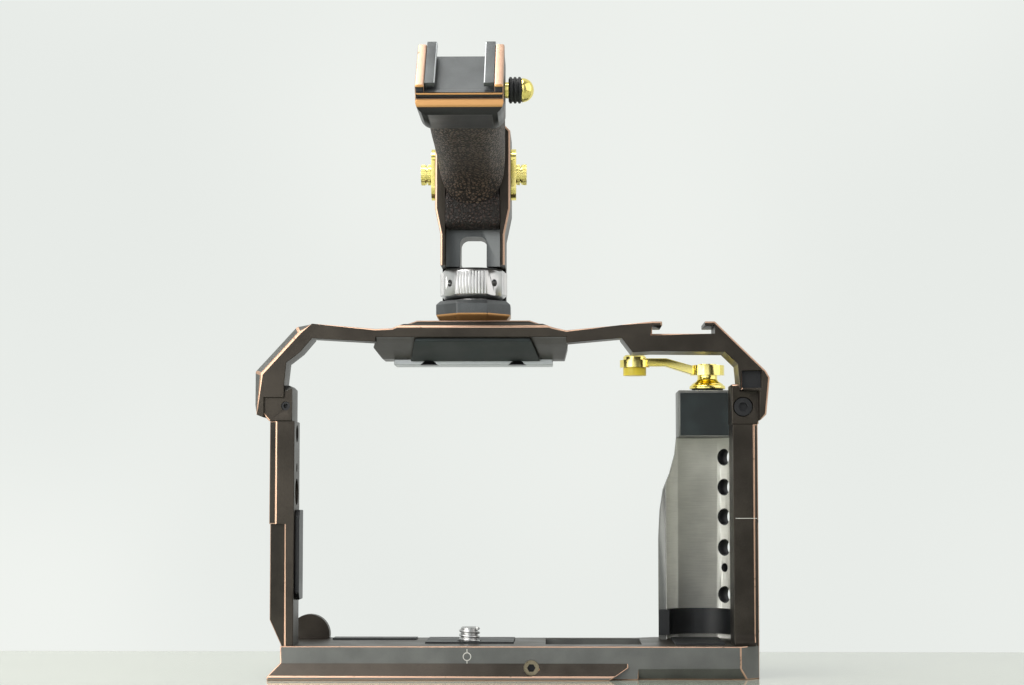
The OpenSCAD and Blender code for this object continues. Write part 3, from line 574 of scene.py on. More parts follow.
class Pattern(Tree):
    """A Geometry Nodes tree that makes a repeated or winding detail."""

    def __init__(self, name: str, sizes: dict[str, float | int]) -> None:
        """Makes the tree with its named inputs.

        Args:
            name: the tree's name.
            sizes: its inputs and their values; whole numbers become integer inputs.
        """
        super().__init__(bpy.data.node_groups.new(name, "GeometryNodeTree"))
        face = self.tree.interface
        face.new_socket("Geometry", in_out="OUTPUT", socket_type="NodeSocketGeometry")
        self.ids: dict[str, str] = {}
        for key, value in sizes.items():
            kind = "NodeSocketInt" if isinstance(value, int) else "NodeSocketFloat"
            self.ids[key] = face.new_socket(key, in_out="INPUT", socket_type=kind).identifier
        self.sizes = sizes
        self.inputs = self.tree.nodes.new("NodeGroupInput").outputs
        self.output = self.tree.nodes.new("NodeGroupOutput").inputs[0]

    def sum(self, operation: str, *values: Any) -> bpy.types.NodeSocket:
        """One Math node's value."""
        return self.node("ShaderNodeMath", {"operation": operation}, dict(enumerate(values))).outputs[0]

    def bake(self, last: bpy.types.NodeSocket, finish: bpy.types.Material) -> bpy.types.Mesh:
        """Ends the tree, runs it once and returns its plain mesh.

        Args:
            last: the geometry to end on.
            finish: the material that it gets.

        Returns:
            The mesh.
        """
        whole = self.node("GeometryNodeRealizeInstances", None, {0: last}).outputs[0]
        dressed = self.node("GeometryNodeSetMaterial", None, {"Geometry": whole, "Material": finish})
        self.tree.links.new(dressed.outputs[0], self.output)
        holder = new_object(self.tree.name, bpy.data.meshes.new(self.tree.name))
        modifier = holder.modifiers.new("pattern", "NODES")
        modifier.node_group = self.tree
        for key, value in self.sizes.items():
            modifier[self.ids[key]] = value
        view = bpy.context.evaluated_depsgraph_get()
        made = bpy.data.meshes.new_from_object(holder.evaluated_get(view))
        bpy.data.objects.remove(holder)
        return made


def ridge_ring(
    finish: bpy.types.Material, radius: float, rod: float, height: float, each: int, start: float,
    step: float, groups: int = 1,
) -> bpy.types.Mesh:
    """Round rods that stand in groups on a circle, as on a knurled knob.

    Args:
        finish: the rods' material.
        radius: radius of the circle, in mm.
        rod: radius of a rod, in mm.
        height: height of a rod, in mm.
        each: how many rods a group has.
        start: angle of the first rod, in degrees.
        step: angle from rod to rod, in degrees.
        groups: how many equal groups go round.

    Returns:
        The mesh, round the origin's +Z, centred on height 0.
    """
    p = Pattern("ridge_ring", {
        "Count": each * groups, "Each": float(each), "Radius": radius * MM, "Rod": rod * MM,
        "Height": height * MM, "Start": math.radians(start), "Step": math.radians(step),
        "Turn": 2 * math.pi / groups,
    })
    index = p.node("GeometryNodeInputIndex").outputs[0]
    inner = p.sum("MULTIPLY", p.sum("MODULO", index, p.inputs["Each"]), p.inputs["Step"])
    outer = p.sum("MULTIPLY", p.sum("FLOOR", p.sum("DIVIDE", index, p.inputs["Each"])), p.inputs["Turn"])
    angle = p.sum("ADD", p.sum("ADD", inner, outer), p.inputs["Start"])
    place = p.node("ShaderNodeCombineXYZ", None, {
        0: p.sum("MULTIPLY", p.sum("COSINE", angle), p.inputs["Radius"]),
        1: p.sum("MULTIPLY", p.sum("SINE", angle), p.inputs["Radius"]),
    }).outputs[0]
    line = p.node("GeometryNodeMeshLine", None, {"Count": p.inputs["Count"]}).outputs[0]
    points = p.node("GeometryNodeSetPosition", None, {"Geometry": line, "Position": place}).outputs[0]
    bar = p.node("GeometryNodeMeshCylinder", None, {
        "Vertices": ROD_SIDES, "Radius": p.inputs["Rod"], "Depth": p.inputs["Height"]}).outputs[0]
    rods = p.node("GeometryNodeInstanceOnPoints", None, {"Points": points, "Instance": bar}).outputs[0]
    return p.bake(rods, finish)


def thread(
    finish: bpy.types.Material, radius: float, ridge: float, pitch: float, turns: float
) -> bpy.types.Mesh:
    """A winding thread ridge round the origin's +Z, whose middle line starts at height 0.

    Args:
        finish: its material.
        radius: radius of the ridge's middle line, in mm.
        ridge: radius of the ridge itself, in mm.
        pitch: rise of one turn, in mm.
        turns: how many turns it makes.

    Returns:
        The mesh.
    """
    p = Pattern("thread", {
        "Radius": radius * MM, "Ridge": ridge * MM, "Height": pitch * turns * MM, "Turns": turns})
    coil = p.node("GeometryNodeCurveSpiral", None, {
        "Resolution": COIL_STEPS, "Rotations": p.inputs["Turns"], "Start Radius": p.inputs["Radius"],
        "End Radius": p.inputs["Radius"], "Height": p.inputs["Height"]}).outputs[0]
    section = p.node("GeometryNodeCurvePrimitiveCircle", None, {
        "Resolution": RIDGE_SIDES, "Radius": p.inputs["Ridge"]})
    tube = p.node("GeometryNodeCurveToMesh", None, {
        "Curve": coil, "Profile Curve": section.outputs[0], "Fill Caps": True}).outputs[0]
    return p.bake(tube, finish)


# ---------------------------------------------------------------- putting pieces in place
# Places in the rules are in metres.
MIDDLE = Vector((0.013, 0.0, 0.045))  # middle of the cage's opening
CORNER_X = -0.046  # the left corner lies beyond this
FLANK_X, FLANK_Z = -0.047, 0.072  # and its flank beyond these
BASE_TOP, BASE_REAR = 0.002, -0.0165  # the base's upper rear edge lies below and behind these
HANDLE_X = 0.001  # the handle's middle plane
CHEEK = 0.0088  # from there to the inner faces of the riser's cheeks
LEANS = 0.3  # a normal leans along an axis past this share
FOLLOWS = 0.6  # and mostly follows it past this one


def nowhere(place: Vector, normal: Vector) -> bool:
    """No edge is worn."""
    return False


def rear_rim(place: Vector, normal: Vector) -> bool:
    """Edges of the rear face, where they turn away from the opening's middle."""
    away = place - MIDDLE
    away.y = 0
    return normal.y < -LEANS and normal.dot(away.normalized()) > LEANS


def arch_rim(place: Vector, normal: Vector) -> bool:
    """The rear rim, without the outer edge of the flank at the left corner."""
    return rear_rim(place, normal) and (place.x > CORNER_X or normal.y < -FOLLOWS)


def left_flank(place: Vector, normal: Vector) -> bool:
    """The rear rim at the left corner, where a broad flank is cut."""
    return place.x < FLANK_X and place.z > FLANK_Z and -0.85 < normal.y < -0.5 and rear_rim(place, normal)


def base_rim(place: Vector, normal: Vector) -> bool:
    """The rear rim, and the base's own upper rear edge."""
    low = place.z < BASE_TOP and place.y < BASE_REAR and normal.y < -LEANS and abs(normal.z) > LEANS
    return low or rear_rim(place, normal)


def off_middle(place: Vector) -> float:
    """How far a place lies from the handle's middle plane."""
    return abs(place.x - HANDLE_X)


def cheek_rim(place: Vector, normal: Vector) -> bool:
    """The rear edges of the riser's two cheeks."""
    return normal.y < -LEANS and abs(normal.x) > LEANS and off_middle(place) > CHEEK


def on_slope(place: Vector, normal: Vector) -> bool:
    """Faces that look up and to the rear, as the nose's slope does."""
    return normal.z > FOLLOWS and normal.y < -FOLLOWS


class Kit:
    """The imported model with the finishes, through which every piece is put in place."""

    def __init__(self) -> None:
        """Loads the model and builds the finishes."""
        self.nodes: dict[str, bpy.types.Object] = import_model()["nodes"]
        self.stuff = {finish: finish.value.build() for finish in Finish}

    def copy(self, node: str) -> Shape:
        """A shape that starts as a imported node's mesh."""
        return Shape.of_node(self.nodes[node])

    def put(
        self, shape: Shape, name: str, body: str, finishes: Iterable[Finish], nodes: Iterable[str],
        angle: float = FLAT_ANGLE,
    ) -> bpy.types.Object:
        """Makes a shape one of the object's pieces.

        Args:
            shape: the shape, in the frame's own place.
            name: the piece's name.
            body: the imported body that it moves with.
            finishes: its finishes, in the order of the faces' slot numbers.
            nodes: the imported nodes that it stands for.
            angle: edges sharper than this in degrees stay sharp; round pieces have a wider one.

        Returns:
            The piece.
        """
        mesh = shape.mesh(name)
        for finish in finishes:
            mesh.materials.append(self.stuff[finish])
        shade(mesh, angle)
        made = new_object(name, mesh)
        if angle == FLAT_ANGLE:
            even_shading(made)
        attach(made, body)
        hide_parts(*nodes)
        return made

    def paint(self, finish: Finish, *nodes: str) -> None:
        """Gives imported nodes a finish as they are."""
        for node in nodes:
            mesh = self.nodes[node].data
            if not mesh.materials:
                mesh.materials.append(self.stuff[finish])
            for holder in self.nodes[node].material_slots:
                holder.material = self.stuff[finish]


@dataclass(frozen=True)
class Rounded:
    """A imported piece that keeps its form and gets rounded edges, of a width in mm."""

    node: str
    finish: Finish
    slot: str
    width: float = 0.25
    body: str = "cage"

    def build(self, kit: Kit) -> None:
        """Puts the piece in place."""
        shape = kit.copy(self.node).wear_and_glint(self.width, nowhere)
        kit.put(shape, self.node + "_worn", self.body, (self.finish,), (self.node,))


@dataclass(frozen=True)
class CageFrame:
    """The U of base and posts, the arch over it, and what is screwed to them."""

    rounded: tuple[Rounded, ...] = (
        Rounded("left_inner_pad", Finish.BLACK_STEEL_AND_SHADE, "black_steel"),
        Rounded("lip_plate", Finish.ALLOY_AND_GLINT, "alloy", 0.2),
        Rounded("hump_pad", Finish.RUBBER, "rubber", 0.2),
    )
    # in metres, for the painted shade: the hexagon socket's axis (X, Z), its reach and its floor's Y, the
    # corner pocket's bounds
    socket_axis: Pair = (0.019, -0.00625)
    socket_reach: float = 0.0013
    socket_floor: float = -0.0187
    pocket_x: float = 0.081
    pocket_y: Pair = (-0.0165, -0.0145)
    pocket_z: Pair = (0.075, 0.083)
    # in mm: the centre mark's place, radii, lines' ends and half width; the post's line (x, x, y, z, z)
    mark_place: Point = (0.0, -17.97, -3.0)
    mark_radii: Pair = (1.25, 1.0)
    mark_lines: tuple[Pair, ...] = ((-5.0, -4.15), (-1.85, -0.8))
    mark_half: float = 0.13
    post_line: tuple[float, ...] = (79.9, 86.3, -12.99, 37.62, 37.78)

    def socket_shade(self, place: Vector, normal: Vector) -> bool:
        """Tells the hexagon socket's faces, which get black steel as painted shade, from the rest of the rear
        screw.
        """
        x, z = self.socket_axis
        return math.hypot(place.x - x, place.z - z) < self.socket_reach and place.y > self.socket_floor

    def pocket_shade(self, place: Vector, normal: Vector) -> bool:
        """Tells the floor of the small pocket at the arch's right corner, which gets black steel as painted
        shade.
        """
        (y0, y1), (z0, z1) = self.pocket_y, self.pocket_z
        return place.x > self.pocket_x and y0 < place.y < y1 and z0 < place.z < z1 and normal.y < -0.9

    def base_sheen_face(self, place: Vector, normal: Vector) -> bool:
        """The faces of the base and its dovetail that look to the rear, which take the lighter anodised copy
        as a painted reflection.
        """
        return place.z < 0.0005 and normal.y < -0.2 and normal.z < 0.4

    def strip(self, marks: Shape, x0: float, x1: float, y: float, z0: float, z1: float, proud: float) -> None:
        """Adds a flat line that stands proud of a rear face, from its sizes in mm."""
        corners = ((x0, z0), (x1, z0), (x1, z1), (x0, z1))
        line = [Vector((x * MM, y * MM, z * MM)) for x, z in corners]
        marks.loft([line, [place - Vector((0, proud * MM, 0)) for place in line]])

    def mark(self, kit: Kit) -> None:
        """Adds the centre mark on the base's rear face, a ring with two lines, and the post's line."""
        x, y, z = self.mark_place
        outer, inner = self.mark_radii
        face = Matrix.Translation((x * MM, y * MM, z * MM)) @ Matrix.Rotation(math.radians(90), 4, "X")
        marks = Shape().lathe([(0, 0), (outer, 0), (outer, 0.08), (0, 0.08)], face, 40)
        marks.lathe([(0, 0.05), (inner, 0.05), (inner, 0.12), (0, 0.12)], face, 40, 1)
        for low, high in self.mark_lines:
            self.strip(marks, x - self.mark_half, x + self.mark_half, y, low, high, 0.08)
        self.strip(marks, *self.post_line, 0.04)
        kit.put(marks, "marks", "cage", (Finish.MARK, Finish.ANODISED_PAINTED_SHEEN), ())

    def build(self, kit: Kit) -> None:
        """Puts the frame in place."""
        for piece in self.rounded:
            piece.build(kit)
        # The base's rear faces take the lighter anodised copy, a painted reflection.
        base = kit.copy("lower_frame").wear_and_glint(0.2, base_rim, slot_width=0.3).dress(self.base_sheen_face, 2, only=0)
        kit.put(base, "lower_frame_worn", "cage",
                (Finish.ANODISED, Finish.COPPER, Finish.ANODISED_PAINTED_SHEEN), ("lower_frame",))
        # The hexagon socket is painted black as the shade inside it.
        screw = kit.copy("rear_hex_screw").dress(self.socket_shade, 1)
        kit.put(screw, "rear_hex_screw_dark", "cage", (Finish.BRONZE, Finish.BLACK_STEEL_AND_SHADE),
                ("rear_hex_screw",))
        # The arch's left flank takes the lighter anodised copy, a painted reflection.
        arch = kit.copy("top_arch").flank(1.9, left_flank, 2).wear_and_glint(0.2, arch_rim)
        # The corner pocket's floor is painted black as the shade in it.
        arch.dress(self.pocket_shade, 3)
        kit.put(arch, "top_arch_worn", "cage",
                (Finish.ANODISED, Finish.COPPER, Finish.ANODISED_PAINTED_SHEEN, Finish.BLACK_STEEL_AND_SHADE), ("top_arch",))
        kit.paint(Finish.PLASTIC, "base_pads")
        kit.paint(Finish.CHROME, "screw_washer")
        self.mark(kit)
        kit.paint(Finish.BLACK_STEEL_AND_SHADE, "left_set_screw", "right_cap_screw", "lip_screws")


@dataclass(frozen=True)
class SideGrip:
    """The bent shell at the right with its two pads and its screws."""

    corner: Pair = (72.0, 16.0)
    pocket: Pair = (71.0, 12.0)
    # the threaded holes' heights and radii
    holes: tuple[Pair, ...] = (
        (13.6, 2.65), (22.0, 1.4), (28.3, 2.65), (37.9, 2.65), (47.2, 2.65), (56.6, 2.65))
    bore_start: float = 8.0
    pocket_depth: float = 5.0

    def bore_shade(self, place: Vector, normal: Vector) -> bool:
        """Tells the walls of the threaded holes, which get black steel as painted shade, from the shell's own
        faces.
        """
        away = Vector((place.x - self.corner[0] * MM, place.y - self.corner[1] * MM, 0))
        along = abs(normal.dot(away.normalized())) < FOLLOWS
        return away.x > 0 and away.length > self.bore_start * MM and along and any(
            abs(place.z - z * MM) < radius * MM for z, radius in self.holes)

    def faces_hand(self, place: Vector, normal: Vector) -> bool:
        """Tells the faces round the camera's grip from the shell's outside."""
        inward = Vector((self.pocket[0] * MM, self.pocket[1] * MM, place.z)) - place
        return abs(normal.z) < LEANS and inward.dot(normal) > self.pocket_depth * MM

    def build(self, kit: Kit) -> None:
        """Puts the grip in place."""
        shell = kit.copy("grip_shell").wear_and_glint(0.2, nowhere, shortest=3.0)
        # The threaded holes' bores are painted black as the shade inside them.
        shell.dress(self.faces_hand, 2).dress(self.bore_shade, 1)
        kit.put(shell, "grip_shell_worn", "cage",
                (Finish.ANODISED_PAINTED_SHEEN, Finish.BLACK_STEEL_AND_SHADE, Finish.BRUSHED), ("grip_shell",), 50)
        Rounded("grip_top_pad", Finish.RUBBER, "rubber").build(kit)
        Rounded("grip_bottom_pad", Finish.PLASTIC, "rubber", 0.12).build(kit)
        kit.paint(Finish.BLACK_STEEL_AND_SHADE, "grip_screws")


@dataclass(frozen=True)
class BaseScrew:
    """The camera screw that stands out of the base, with its real thread."""

    radius: float = 3.175
    pitch: float = 1.27
    top: float = 4.8
    groove: float = 0.55
    ridge: float = 0.42
    turns: float = 3.1
    thread_start: float = 0.45
    chamfer: float = 0.4

    def build(self, kit: Kit) -> None:
        """Puts the screw in place."""
        core, cut, top = self.radius - self.groove, self.chamfer, self.top
        body = kit.copy("camera_screw").cut_above(0.0)
        body.lathe([(0, -cut), (core, -cut), (core, top - cut), (core - cut, top), (0, top)],
                   Matrix.Identity(4), 48)
        coil = thread(kit.stuff[Finish.CHROME], self.radius - self.ridge, self.ridge, self.pitch, self.turns)
        body.take(coil, Matrix.Translation((0, 0, self.thread_start * MM)))
        kit.put(body, "camera_screw_threaded", "camera_screw", (Finish.CHROME,),
                ("camera_screw",), 40)


@dataclass(frozen=True)
class ShutterLever:
    """The gold lever on the grip: a turned foot, a cranked arm and a button with a rubber pad."""

    axis: Pair = (73.7, 16.0)
    button_x: float = 51.0
    foot: tuple[Pair, ...] = (
        (2.2, 77.75), (5.55, 77.75), (5.6, 77.9), (5.6, 78.5), (5.4, 78.75), (4.9, 79.1), (4.85, 79.3),
        (4.2, 79.75), (3.6, 80.05), (3.2, 80.6), (3.1, 80.9), (3.1, 81.5), (3.1, 81.9), (2.2, 81.9),
    )
    spring_ends: Pair = (85.42, 86.53)
    spring_radius: float = 2.05
    spring_turns: float = 2.2
    wire: float = 0.18

    def spring(self, kit: Kit) -> None:
        """Winds the button's spring, which moves with the button and has a mesh of its own."""
        (low, high), wire, turns = self.spring_ends, self.wire, self.spring_turns
        pitch = (high - low - 2 * wire) / turns
        coil = thread(kit.stuff[Finish.CHROME], self.spring_radius, wire, pitch, turns)
        place = Matrix.Translation((self.button_x * MM, self.axis[1] * MM, (low + wire) * MM))
        made = kit.put(Shape().take(coil, place), "button_spring_coil", "button",
                       (Finish.CHROME,), ("button_spring",), 60)
        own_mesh(made)

    def build(self, kit: Kit) -> None:
        """Puts the lever in place."""
        x, y = (value * MM for value in self.axis)
        foot = Shape().lathe(self.foot, Matrix.Translation((x, y, 0)))
        kit.put(foot, "lever_foot_turned", "cage", (Finish.GOLD,), ("lever_base",), 40)
        Rounded("lever_arm", Finish.GOLD, "gold", 0.22, "lever").build(kit)
        Rounded("button_cap", Finish.GOLD, "gold", 0.15, "button").build(kit)
        Rounded("button_pad", Finish.YELLOW, "yellow_rubber", 0.9, "button").build(kit)
        Rounded("lever_screw", Finish.GOLD, "gold", 0.12).build(kit)
        kit.paint(Finish.RUBBER, "lever_washer")
        self.spring(kit)


def spline(p: float, q: float, r: float, s: float, t: float) -> float:
    """A smooth curve's value between q and r at t from 0 to 1, with p before them and s after."""
    bend, twist = 2 * p - 5 * q + 4 * r - s, 3 * q - p - 3 * r + s
    return 0.5 * (2 * q + (r - p) * t + bend * t * t + twist * t**3)


@dataclass(frozen=True)
class Leather:
    """The leather cover of the handle: a rounded trough under the bar and a flat panel below it."""

    middle: float = 1.0
    top: float = 158.0
    channel: Pair = (8.0, 150.0)
    arc_steps: int = 14
    # (Y, underside, half width, bottom radius), in mm, from the nose to the riser
    stations: tuple[tuple[float, float, float, float], ...] = (
        (-72.0, 145.3, 9.5, 6.0), (-66.0, 144.4, 9.9, 6.3), (-58.0, 143.2, 10.2, 6.8),
        (-46.0, 142.0, 10.3, 7.2), (-34.0, 141.2, 10.3, 7.4), (-24.0, 140.2, 10.3, 7.6),
        (-17.0, 138.6, 10.2, 7.9), (-12.5, 136.7, 10.0, 8.2), (-9.5, 134.9, 9.7, 8.4),
        (-7.8, 133.6, 9.2, 8.4), (-6.7, 133.1, 8.6, 8.2),
    )

    def section(self, y: float, low: float, half: float, radius: float) -> Ring:
        """One closed outline across the bar, in metres."""
        side = [(self.channel[0], self.top), (half - 0.7, self.top), (half - 0.2, self.top - 0.2),
                (half, self.top - 0.7)]
        for i in range(self.arc_steps + 1):
            turn = math.radians(90 * i / self.arc_steps)
            side.append((half - radius + radius * math.cos(turn), low + radius - radius * math.sin(turn)))
        left = [(-x, z) for x, z in side]
        points = side + left[::-1] + [(-self.channel[0], self.channel[1]), self.channel]
        return [Vector((self.middle + x, y, z)) * MM for x, z in points]

    def build(self, kit: Kit) -> None:
        """Puts both pieces in place."""
        bar = Shape().loft([self.section(*station) for station in self.smooth()])
        kit.put(bar, "leather_bar", "handle", (Finish.LEATHER,), ("leather_upper",), 50)
        # The lower panel takes the darker leather copy as painted shade.
        Rounded("leather_lower", Finish.SHADED_LEATHER, "leather", 0.9, "handle").build(kit)

    def smooth(self, parts: int = 4) -> list[tuple[float, ...]]:
        """The stations with more between them on a smooth curve."""
        made: list[tuple[float, ...]] = []
        rows = [self.stations[0], *self.stations, self.stations[-1]]
        for a, b, c, d in zip(rows, rows[1:], rows[2:], rows[3:]):
            for i in range(parts):
                made.append(tuple(spline(*values, i / parts) for values in zip(a, b, c, d)))
        return [*made, self.stations[-1]]


@dataclass(frozen=True)
class LockRing:
    """The bright ring under the riser: fine ridges between four flats with spanner holes."""

    x: float = 1.0
    y: float = 4.0
    z: float = 109.4
    ridge_circle: float = 9.98

    def build(self, kit: Kit) -> None:
        """Puts the ring in place."""
        body = kit.copy("lock_ring").wear_and_glint(0.15, nowhere, 40)
        ridges = ridge_ring(kit.stuff[Finish.CHROME], self.ridge_circle, rod=0.34, height=6.9, each=10,
                            start=-116.3, step=5.4, groups=4)
        body.take(ridges, Matrix.Translation((self.x * MM, self.y * MM, self.z * MM)))
        kit.put(body, "lock_ring_knurled", "lock_ring", (Finish.CHROME,), ("lock_ring",), 35)
        kit.paint(Finish.CHROME, "mounting_screw")


@dataclass(frozen=True)
class SideHardware:
    """The two gold thumb screws through the cheeks, and the nose's spring knob."""

    centre: Point = (1.0, 5.0, 143.9)
    head: float = 13.2
    bands: tuple[Pair, ...] = ((0.25, 0.8), (1.95, 1.15))  # start and height of each ridged band
    knob: Point = (12.75, -79.5, 154.5)
    neck: float = 3.2
    seam: float = 4.6
    dome: Pair = (3.3, 3.15)  # radius and height
    dome_start: float = 4.75
    rib: tuple[Pair, ...] = ((3.2, 0.0), (3.5, 0.05), (3.62, 0.2), (3.62, 0.6), (3.5, 0.75), (3.2, 0.8))
    rib_count: int = 3
    rib_start: float = 1.15
    rib_pitch: float = 1.2

    def thumb(self, kit: Kit, side: int, name: str, body: str) -> None:
        """Puts one thumb screw in place.

        Args:
            side: 1 for the right one, -1 for the left one.
            name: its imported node.
            body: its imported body.
        """
        shape = kit.copy(name).wear_and_glint(0.14, nowhere, 40)
        x, y, z = self.centre
        for start, height in self.bands:
            rods = ridge_ring(
                kit.stuff[Finish.GOLD], 3.04, rod=0.17, height=height, each=30, start=0, step=12)
            reach = x + side * (self.head + start + height / 2)
            shape.take(rods, along_x(reach * MM, y * MM, z * MM))
        kit.put(shape, name + "_ridged", body, (Finish.GOLD,), (name,), 38)

    def build(self, kit: Kit) -> None:
        """Puts the screws and the knob in place."""
        self.thumb(kit, 1, "thumb_screw_right", "thumb_right")
        self.thumb(kit, -1, "thumb_screw_left", "thumb_left")
        place = along_x(*(value * MM for value in self.knob))
        wide, high = self.dome
        arc = [math.radians(angle) for angle in range(0, 90, 9)]
        dome = [(0, self.seam), (self.neck, self.seam)]
        dome += [(wide * math.cos(a), self.dome_start + high * math.sin(a)) for a in arc]
        dome.append((0, self.dome_start + high))
        kit.put(Shape().lathe(dome, place, 48), "knob_dome_turned", "shoe_knob", (Finish.GOLD,),
                ("knob_dome",), 50)
        lows = [self.rib_start + i * self.rib_pitch for i in range(self.rib_count)]
        ribs = [(radius, low + up) for low in lows for radius, up in self.rib]
        grip = [(1.5, 1.0), (self.neck, 1.0), *ribs, (self.neck, self.seam), (1.5, self.seam)]
        kit.put(Shape().lathe(grip, place, 48), "knob_grip_ribbed", "shoe_knob",
                (Finish.PLASTIC,), ("knob_grip",), 40)
        kit.paint(Finish.GOLD, "knob_stud")


@dataclass(frozen=True)
class TopHandle:
    """The handle: foot, riser, bar with its leather, and the nose with a shoe on its slope."""

    parts: tuple[Any, ...] = (Leather(), LockRing(), SideHardware())
    # in metres, from the handle's middle plane and from the frame's origin
    shoe_half: float = 0.0092
    rail_glint_half: float = 0.0069
    bar_under: float = 0.15
    foot_under: float = 0.1
    nose_front: float = -0.09

    def wall_top(self, place: Vector, normal: Vector) -> bool:
        """The tops of the two walls beside the nose's shoe."""
        return on_slope(place, normal) and off_middle(place) > self.shoe_half

    def shoe_floor(self, place: Vector, normal: Vector) -> bool:
        """The floor between the nose's walls."""
        return on_slope(place, normal) and off_middle(place) < self.shoe_half

    def web(self, place: Vector, normal: Vector) -> bool:
        """The thin wall between the riser's cheeks."""
        return abs(normal.y) > 0.9 and place.z < self.bar_under and off_middle(place) < CHEEK

    def build(self, kit: Kit) -> None:
        """Puts the handle in place."""
        foot = kit.copy("handle_foot").dress(lambda p, n: -0.95 < n.z < -0.2, 1)
        foot.wear_and_glint(0.2, lambda p, n: n.y < -0.2 and p.z < self.foot_under)
        kit.put(foot, "handle_foot_worn", "handle", (Finish.SLATE, Finish.AMBER),
                ("handle_foot",))
        frame = kit.copy("handle_frame").dress(self.web, 2).wear_and_glint(0.2, cheek_rim, slot_width=0.6)
        kit.put(frame, "handle_frame_worn", "handle",
                (Finish.ANODISED, Finish.COPPER, Finish.SLATE), ("handle_frame",))
        nose = kit.copy("nose_block").dress(self.wall_top, 1).dress(self.shoe_floor, 2)
        nose.wear_and_glint(0.35, lambda p, n: n.y < -0.2 and n.z > -0.9)
        # Every face of the nose that looks down takes black steel as painted shade.
        nose.dress(lambda p, n: n.y < -0.8 and p.y < self.nose_front, 3).dress(lambda p, n: n.z < -0.5, 4)
        kit.put(nose, "nose_worn", "handle", (
            Finish.ANODISED, Finish.COPPER, Finish.SLATE, Finish.AMBER, Finish.BLACK_STEEL_AND_SHADE), ("nose_block",))
        # The rails' upper inner edges take the light alloy as a painted highlight.
        rails = kit.copy("shoe_rails").dress(on_slope, 2)
        rails.wear_and_glint(0.15, lambda p, n: n.z > 0.2 and off_middle(p) < self.rail_glint_half, slot_width=0.3)
        kit.put(rails, "shoe_rails_glint", "handle",
                (Finish.SLATE, Finish.ALLOY_AND_GLINT, Finish.SLATE), ("shoe_rails",))
        kit.paint(Finish.CHROME, "nose_screws")
        for side in ("left", "right"):
            Rounded("side_plate_" + side, Finish.GOLD, "gold", 0.3, "handle").build(kit)
        for part in self.parts:
            part.build(kit)


# ---------------------------------------------------------------- the studio
def panel(name: str, corners: list[Point], stuff: bpy.types.Material) -> None:
    """Adds one flat stage panel from its corners in metres."""
    mesh = bpy.data.meshes.new(name)
    mesh.from_pydata(corners, [], [tuple(range(len(corners)))])
    mesh.materials.append(stuff)
    made = new_object(name, mesh)


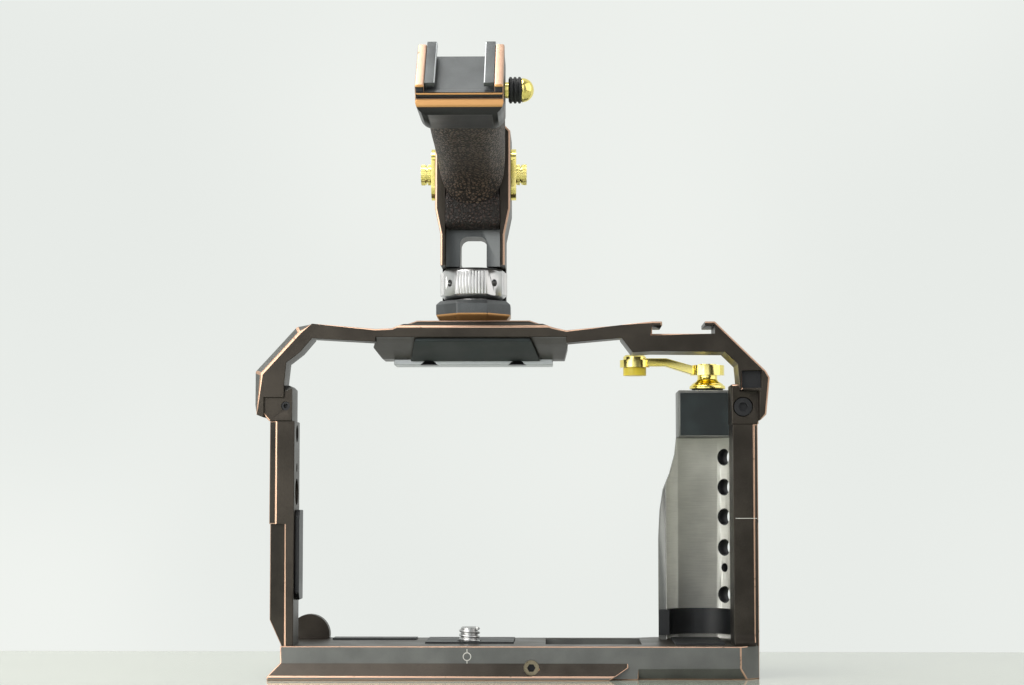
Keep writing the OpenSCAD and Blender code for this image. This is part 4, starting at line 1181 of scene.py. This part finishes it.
@dataclass(frozen=True)
class Studio:
    """The pale wall, the glossy table, the lamps and the camera."""

    table_z: float = -0.0098
    wall_y: float = 0.103
    reach: float = 2.0  # half the table's side, and the wall's height
    camera_place: Point = (0.0276, -0.668, 0.0432)
    camera_turn: Point = (94.12, 0.0, 1.26)
    lens: float = 76.8
    near: float = 0.34  # the room's brightness on the camera's side
    far: float = 0.80  # and on the other side
    turnover: float = 0.4  # how far to either side it changes, as a share of the direction
    aim: Point = (0.01, 0.0, 0.06)
    left_aim: Point = (0.07, 0.02, 0.04)

    def backdrop(self) -> None:
        """Builds the wall, bright for the camera and for mirrors, and the glossy table."""
        wall = self.glow("wall_paint", (0.800, 0.830, 0.800), (0.880, 0.905, 0.870), 3.0)
        y, z, r = self.wall_y, self.table_z, self.reach
        low = z - 0.02
        panel("wall", [(-r, y, low), (r, y, low), (r, y, r), (-r, y, r)], wall)
        top = Graph("table_top")
        top.set(base_color=(0.36, 0.38, 0.32))
        top.gloss(top.noise(6.0, 3.0), 0.08, 0.06)
        panel("table", [(-r, -r, z), (r, -r, z), (r, r, z), (-r, r, z)], top.material)

    def glow(self, name: str, dark: Colour, light: Colour, scale: float) -> bpy.types.Material:
        """A painted wall that the camera and mirrors see at its own brightness, and clear from behind.

        Args:
            name: the material's name.
            dark: the colour where it is dullest.
            light: the colour where it is brightest.
            scale: how many clouds there are in a metre.

        Returns:
            The material.
        """
        g = Graph(name)
        cloud = g.noise(scale, 2.0)
        tone = g.mix(cloud.ramp(*TONE_SPAN), dark, light)
        g.set(base_color=tone, roughness=0.8)
        rays = g.node("ShaderNodeLightPath").outputs
        kinds = ("Camera", "Glossy", "Transmission")
        camera, glossy, passing = (Expr(g, rays[f"Is {kind} Ray"]) for kind in kinds)
        seen = camera + glossy + passing
        bright = g.node("ShaderNodeEmission", None, {"Color": tone, "Strength": 1.0})
        front = g.node("ShaderNodeMixShader", None, {
            0: seen.ramp(0.0, 1.0), 1: g.shader.outputs[0], 2: bright.outputs[0]})
        behind = g.node("ShaderNodeNewGeometry").outputs["Backfacing"]
        clear = g.node("ShaderNodeBsdfTransparent").outputs[0]
        both = g.node("ShaderNodeMixShader", None, {0: behind, 1: front.outputs[0], 2: clear})
        g.tree.links.new(both.outputs[0], g.tree.nodes["Material Output"].inputs["Surface"])
        return g.material

    def lamp(self, name: str, place: Point, aim: Point, size: float, power: float, tint: Colour) -> None:
        """Adds one soft square lamp.

        Args:
            name: the lamp's name.
            place: where it hangs, in metres.
            aim: the place it faces.
            size: its side, in metres.
            power: its power, in watts.
            tint: its colour.
        """
        data = bpy.data.lights.new(name, "AREA")
        data.shape, data.size, data.energy, data.color = "SQUARE", size, power, tint
        made = new_object(name, data)
        made.location = place
        made.rotation_euler = (Vector(aim) - Vector(place)).to_track_quat("-Z", "Y").to_euler()
        made.visible_camera = False

    def room(self) -> None:
        """Lights the scene from all round, less from the camera's side of the room."""
        world = bpy.data.worlds.new("room")
        world.use_nodes = True
        sky = Tree(world.node_tree)
        ways = sky.node("ShaderNodeTexCoord").outputs["Generated"]
        level = sky.node("ShaderNodeMapRange", None, {
            "Value": sky.node("ShaderNodeSeparateXYZ", None, {0: ways}).outputs["Y"],
            "From Min": -self.turnover, "From Max": self.turnover, "To Min": self.near, "To Max": self.far})
        air = sky.tree.nodes["Background"].inputs
        sky.feed(air["Color"], (0.93, 0.96, 0.97))
        sky.feed(air["Strength"], level.outputs["Result"])
        bpy.context.scene.world = world

    def build(self) -> None:
        """Sets up the stage, the light and the camera."""
        self.backdrop()
        self.room()
        self.lamp("overhead", (-0.25, -0.15, 0.75), self.aim, 0.50, 5.0, (1.0, 0.98, 0.95))
        self.lamp("right", (0.65, -0.30, 0.40), self.aim, 0.80, 2.5, (1.0, 0.97, 0.93))
        self.lamp("left", (-0.42, -0.42, 0.14), self.left_aim, 0.60, 3.6, (1.0, 0.99, 0.94))
        self.lamp("front", (-0.15, -0.85, 0.35), self.aim, 0.80, 1.8, (0.95, 0.98, 1.0))
        eye = bpy.data.cameras.new("eye")
        eye.lens, eye.sensor_width = self.lens, 36.0
        eye.clip_start, eye.clip_end = 0.01, 20.0
        holder = new_object("eye", eye)
        holder.location = self.camera_place
        holder.rotation_euler = [math.radians(turn) for turn in self.camera_turn]
        bpy.context.scene.camera = holder
        bpy.context.scene.view_settings.view_transform = "Standard"


def main() -> None:
    """Builds the whole picture."""
    logging.basicConfig(level=logging.INFO)
    kit = Kit()
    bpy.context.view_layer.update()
    for part in (CageFrame(), SideGrip(), BaseScrew(), ShutterLever(), TopHandle()):
        LOG.info("building %s", type(part).__name__)
        part.build(kit)
    Studio().build()


if __name__ == "__main__":
    main()
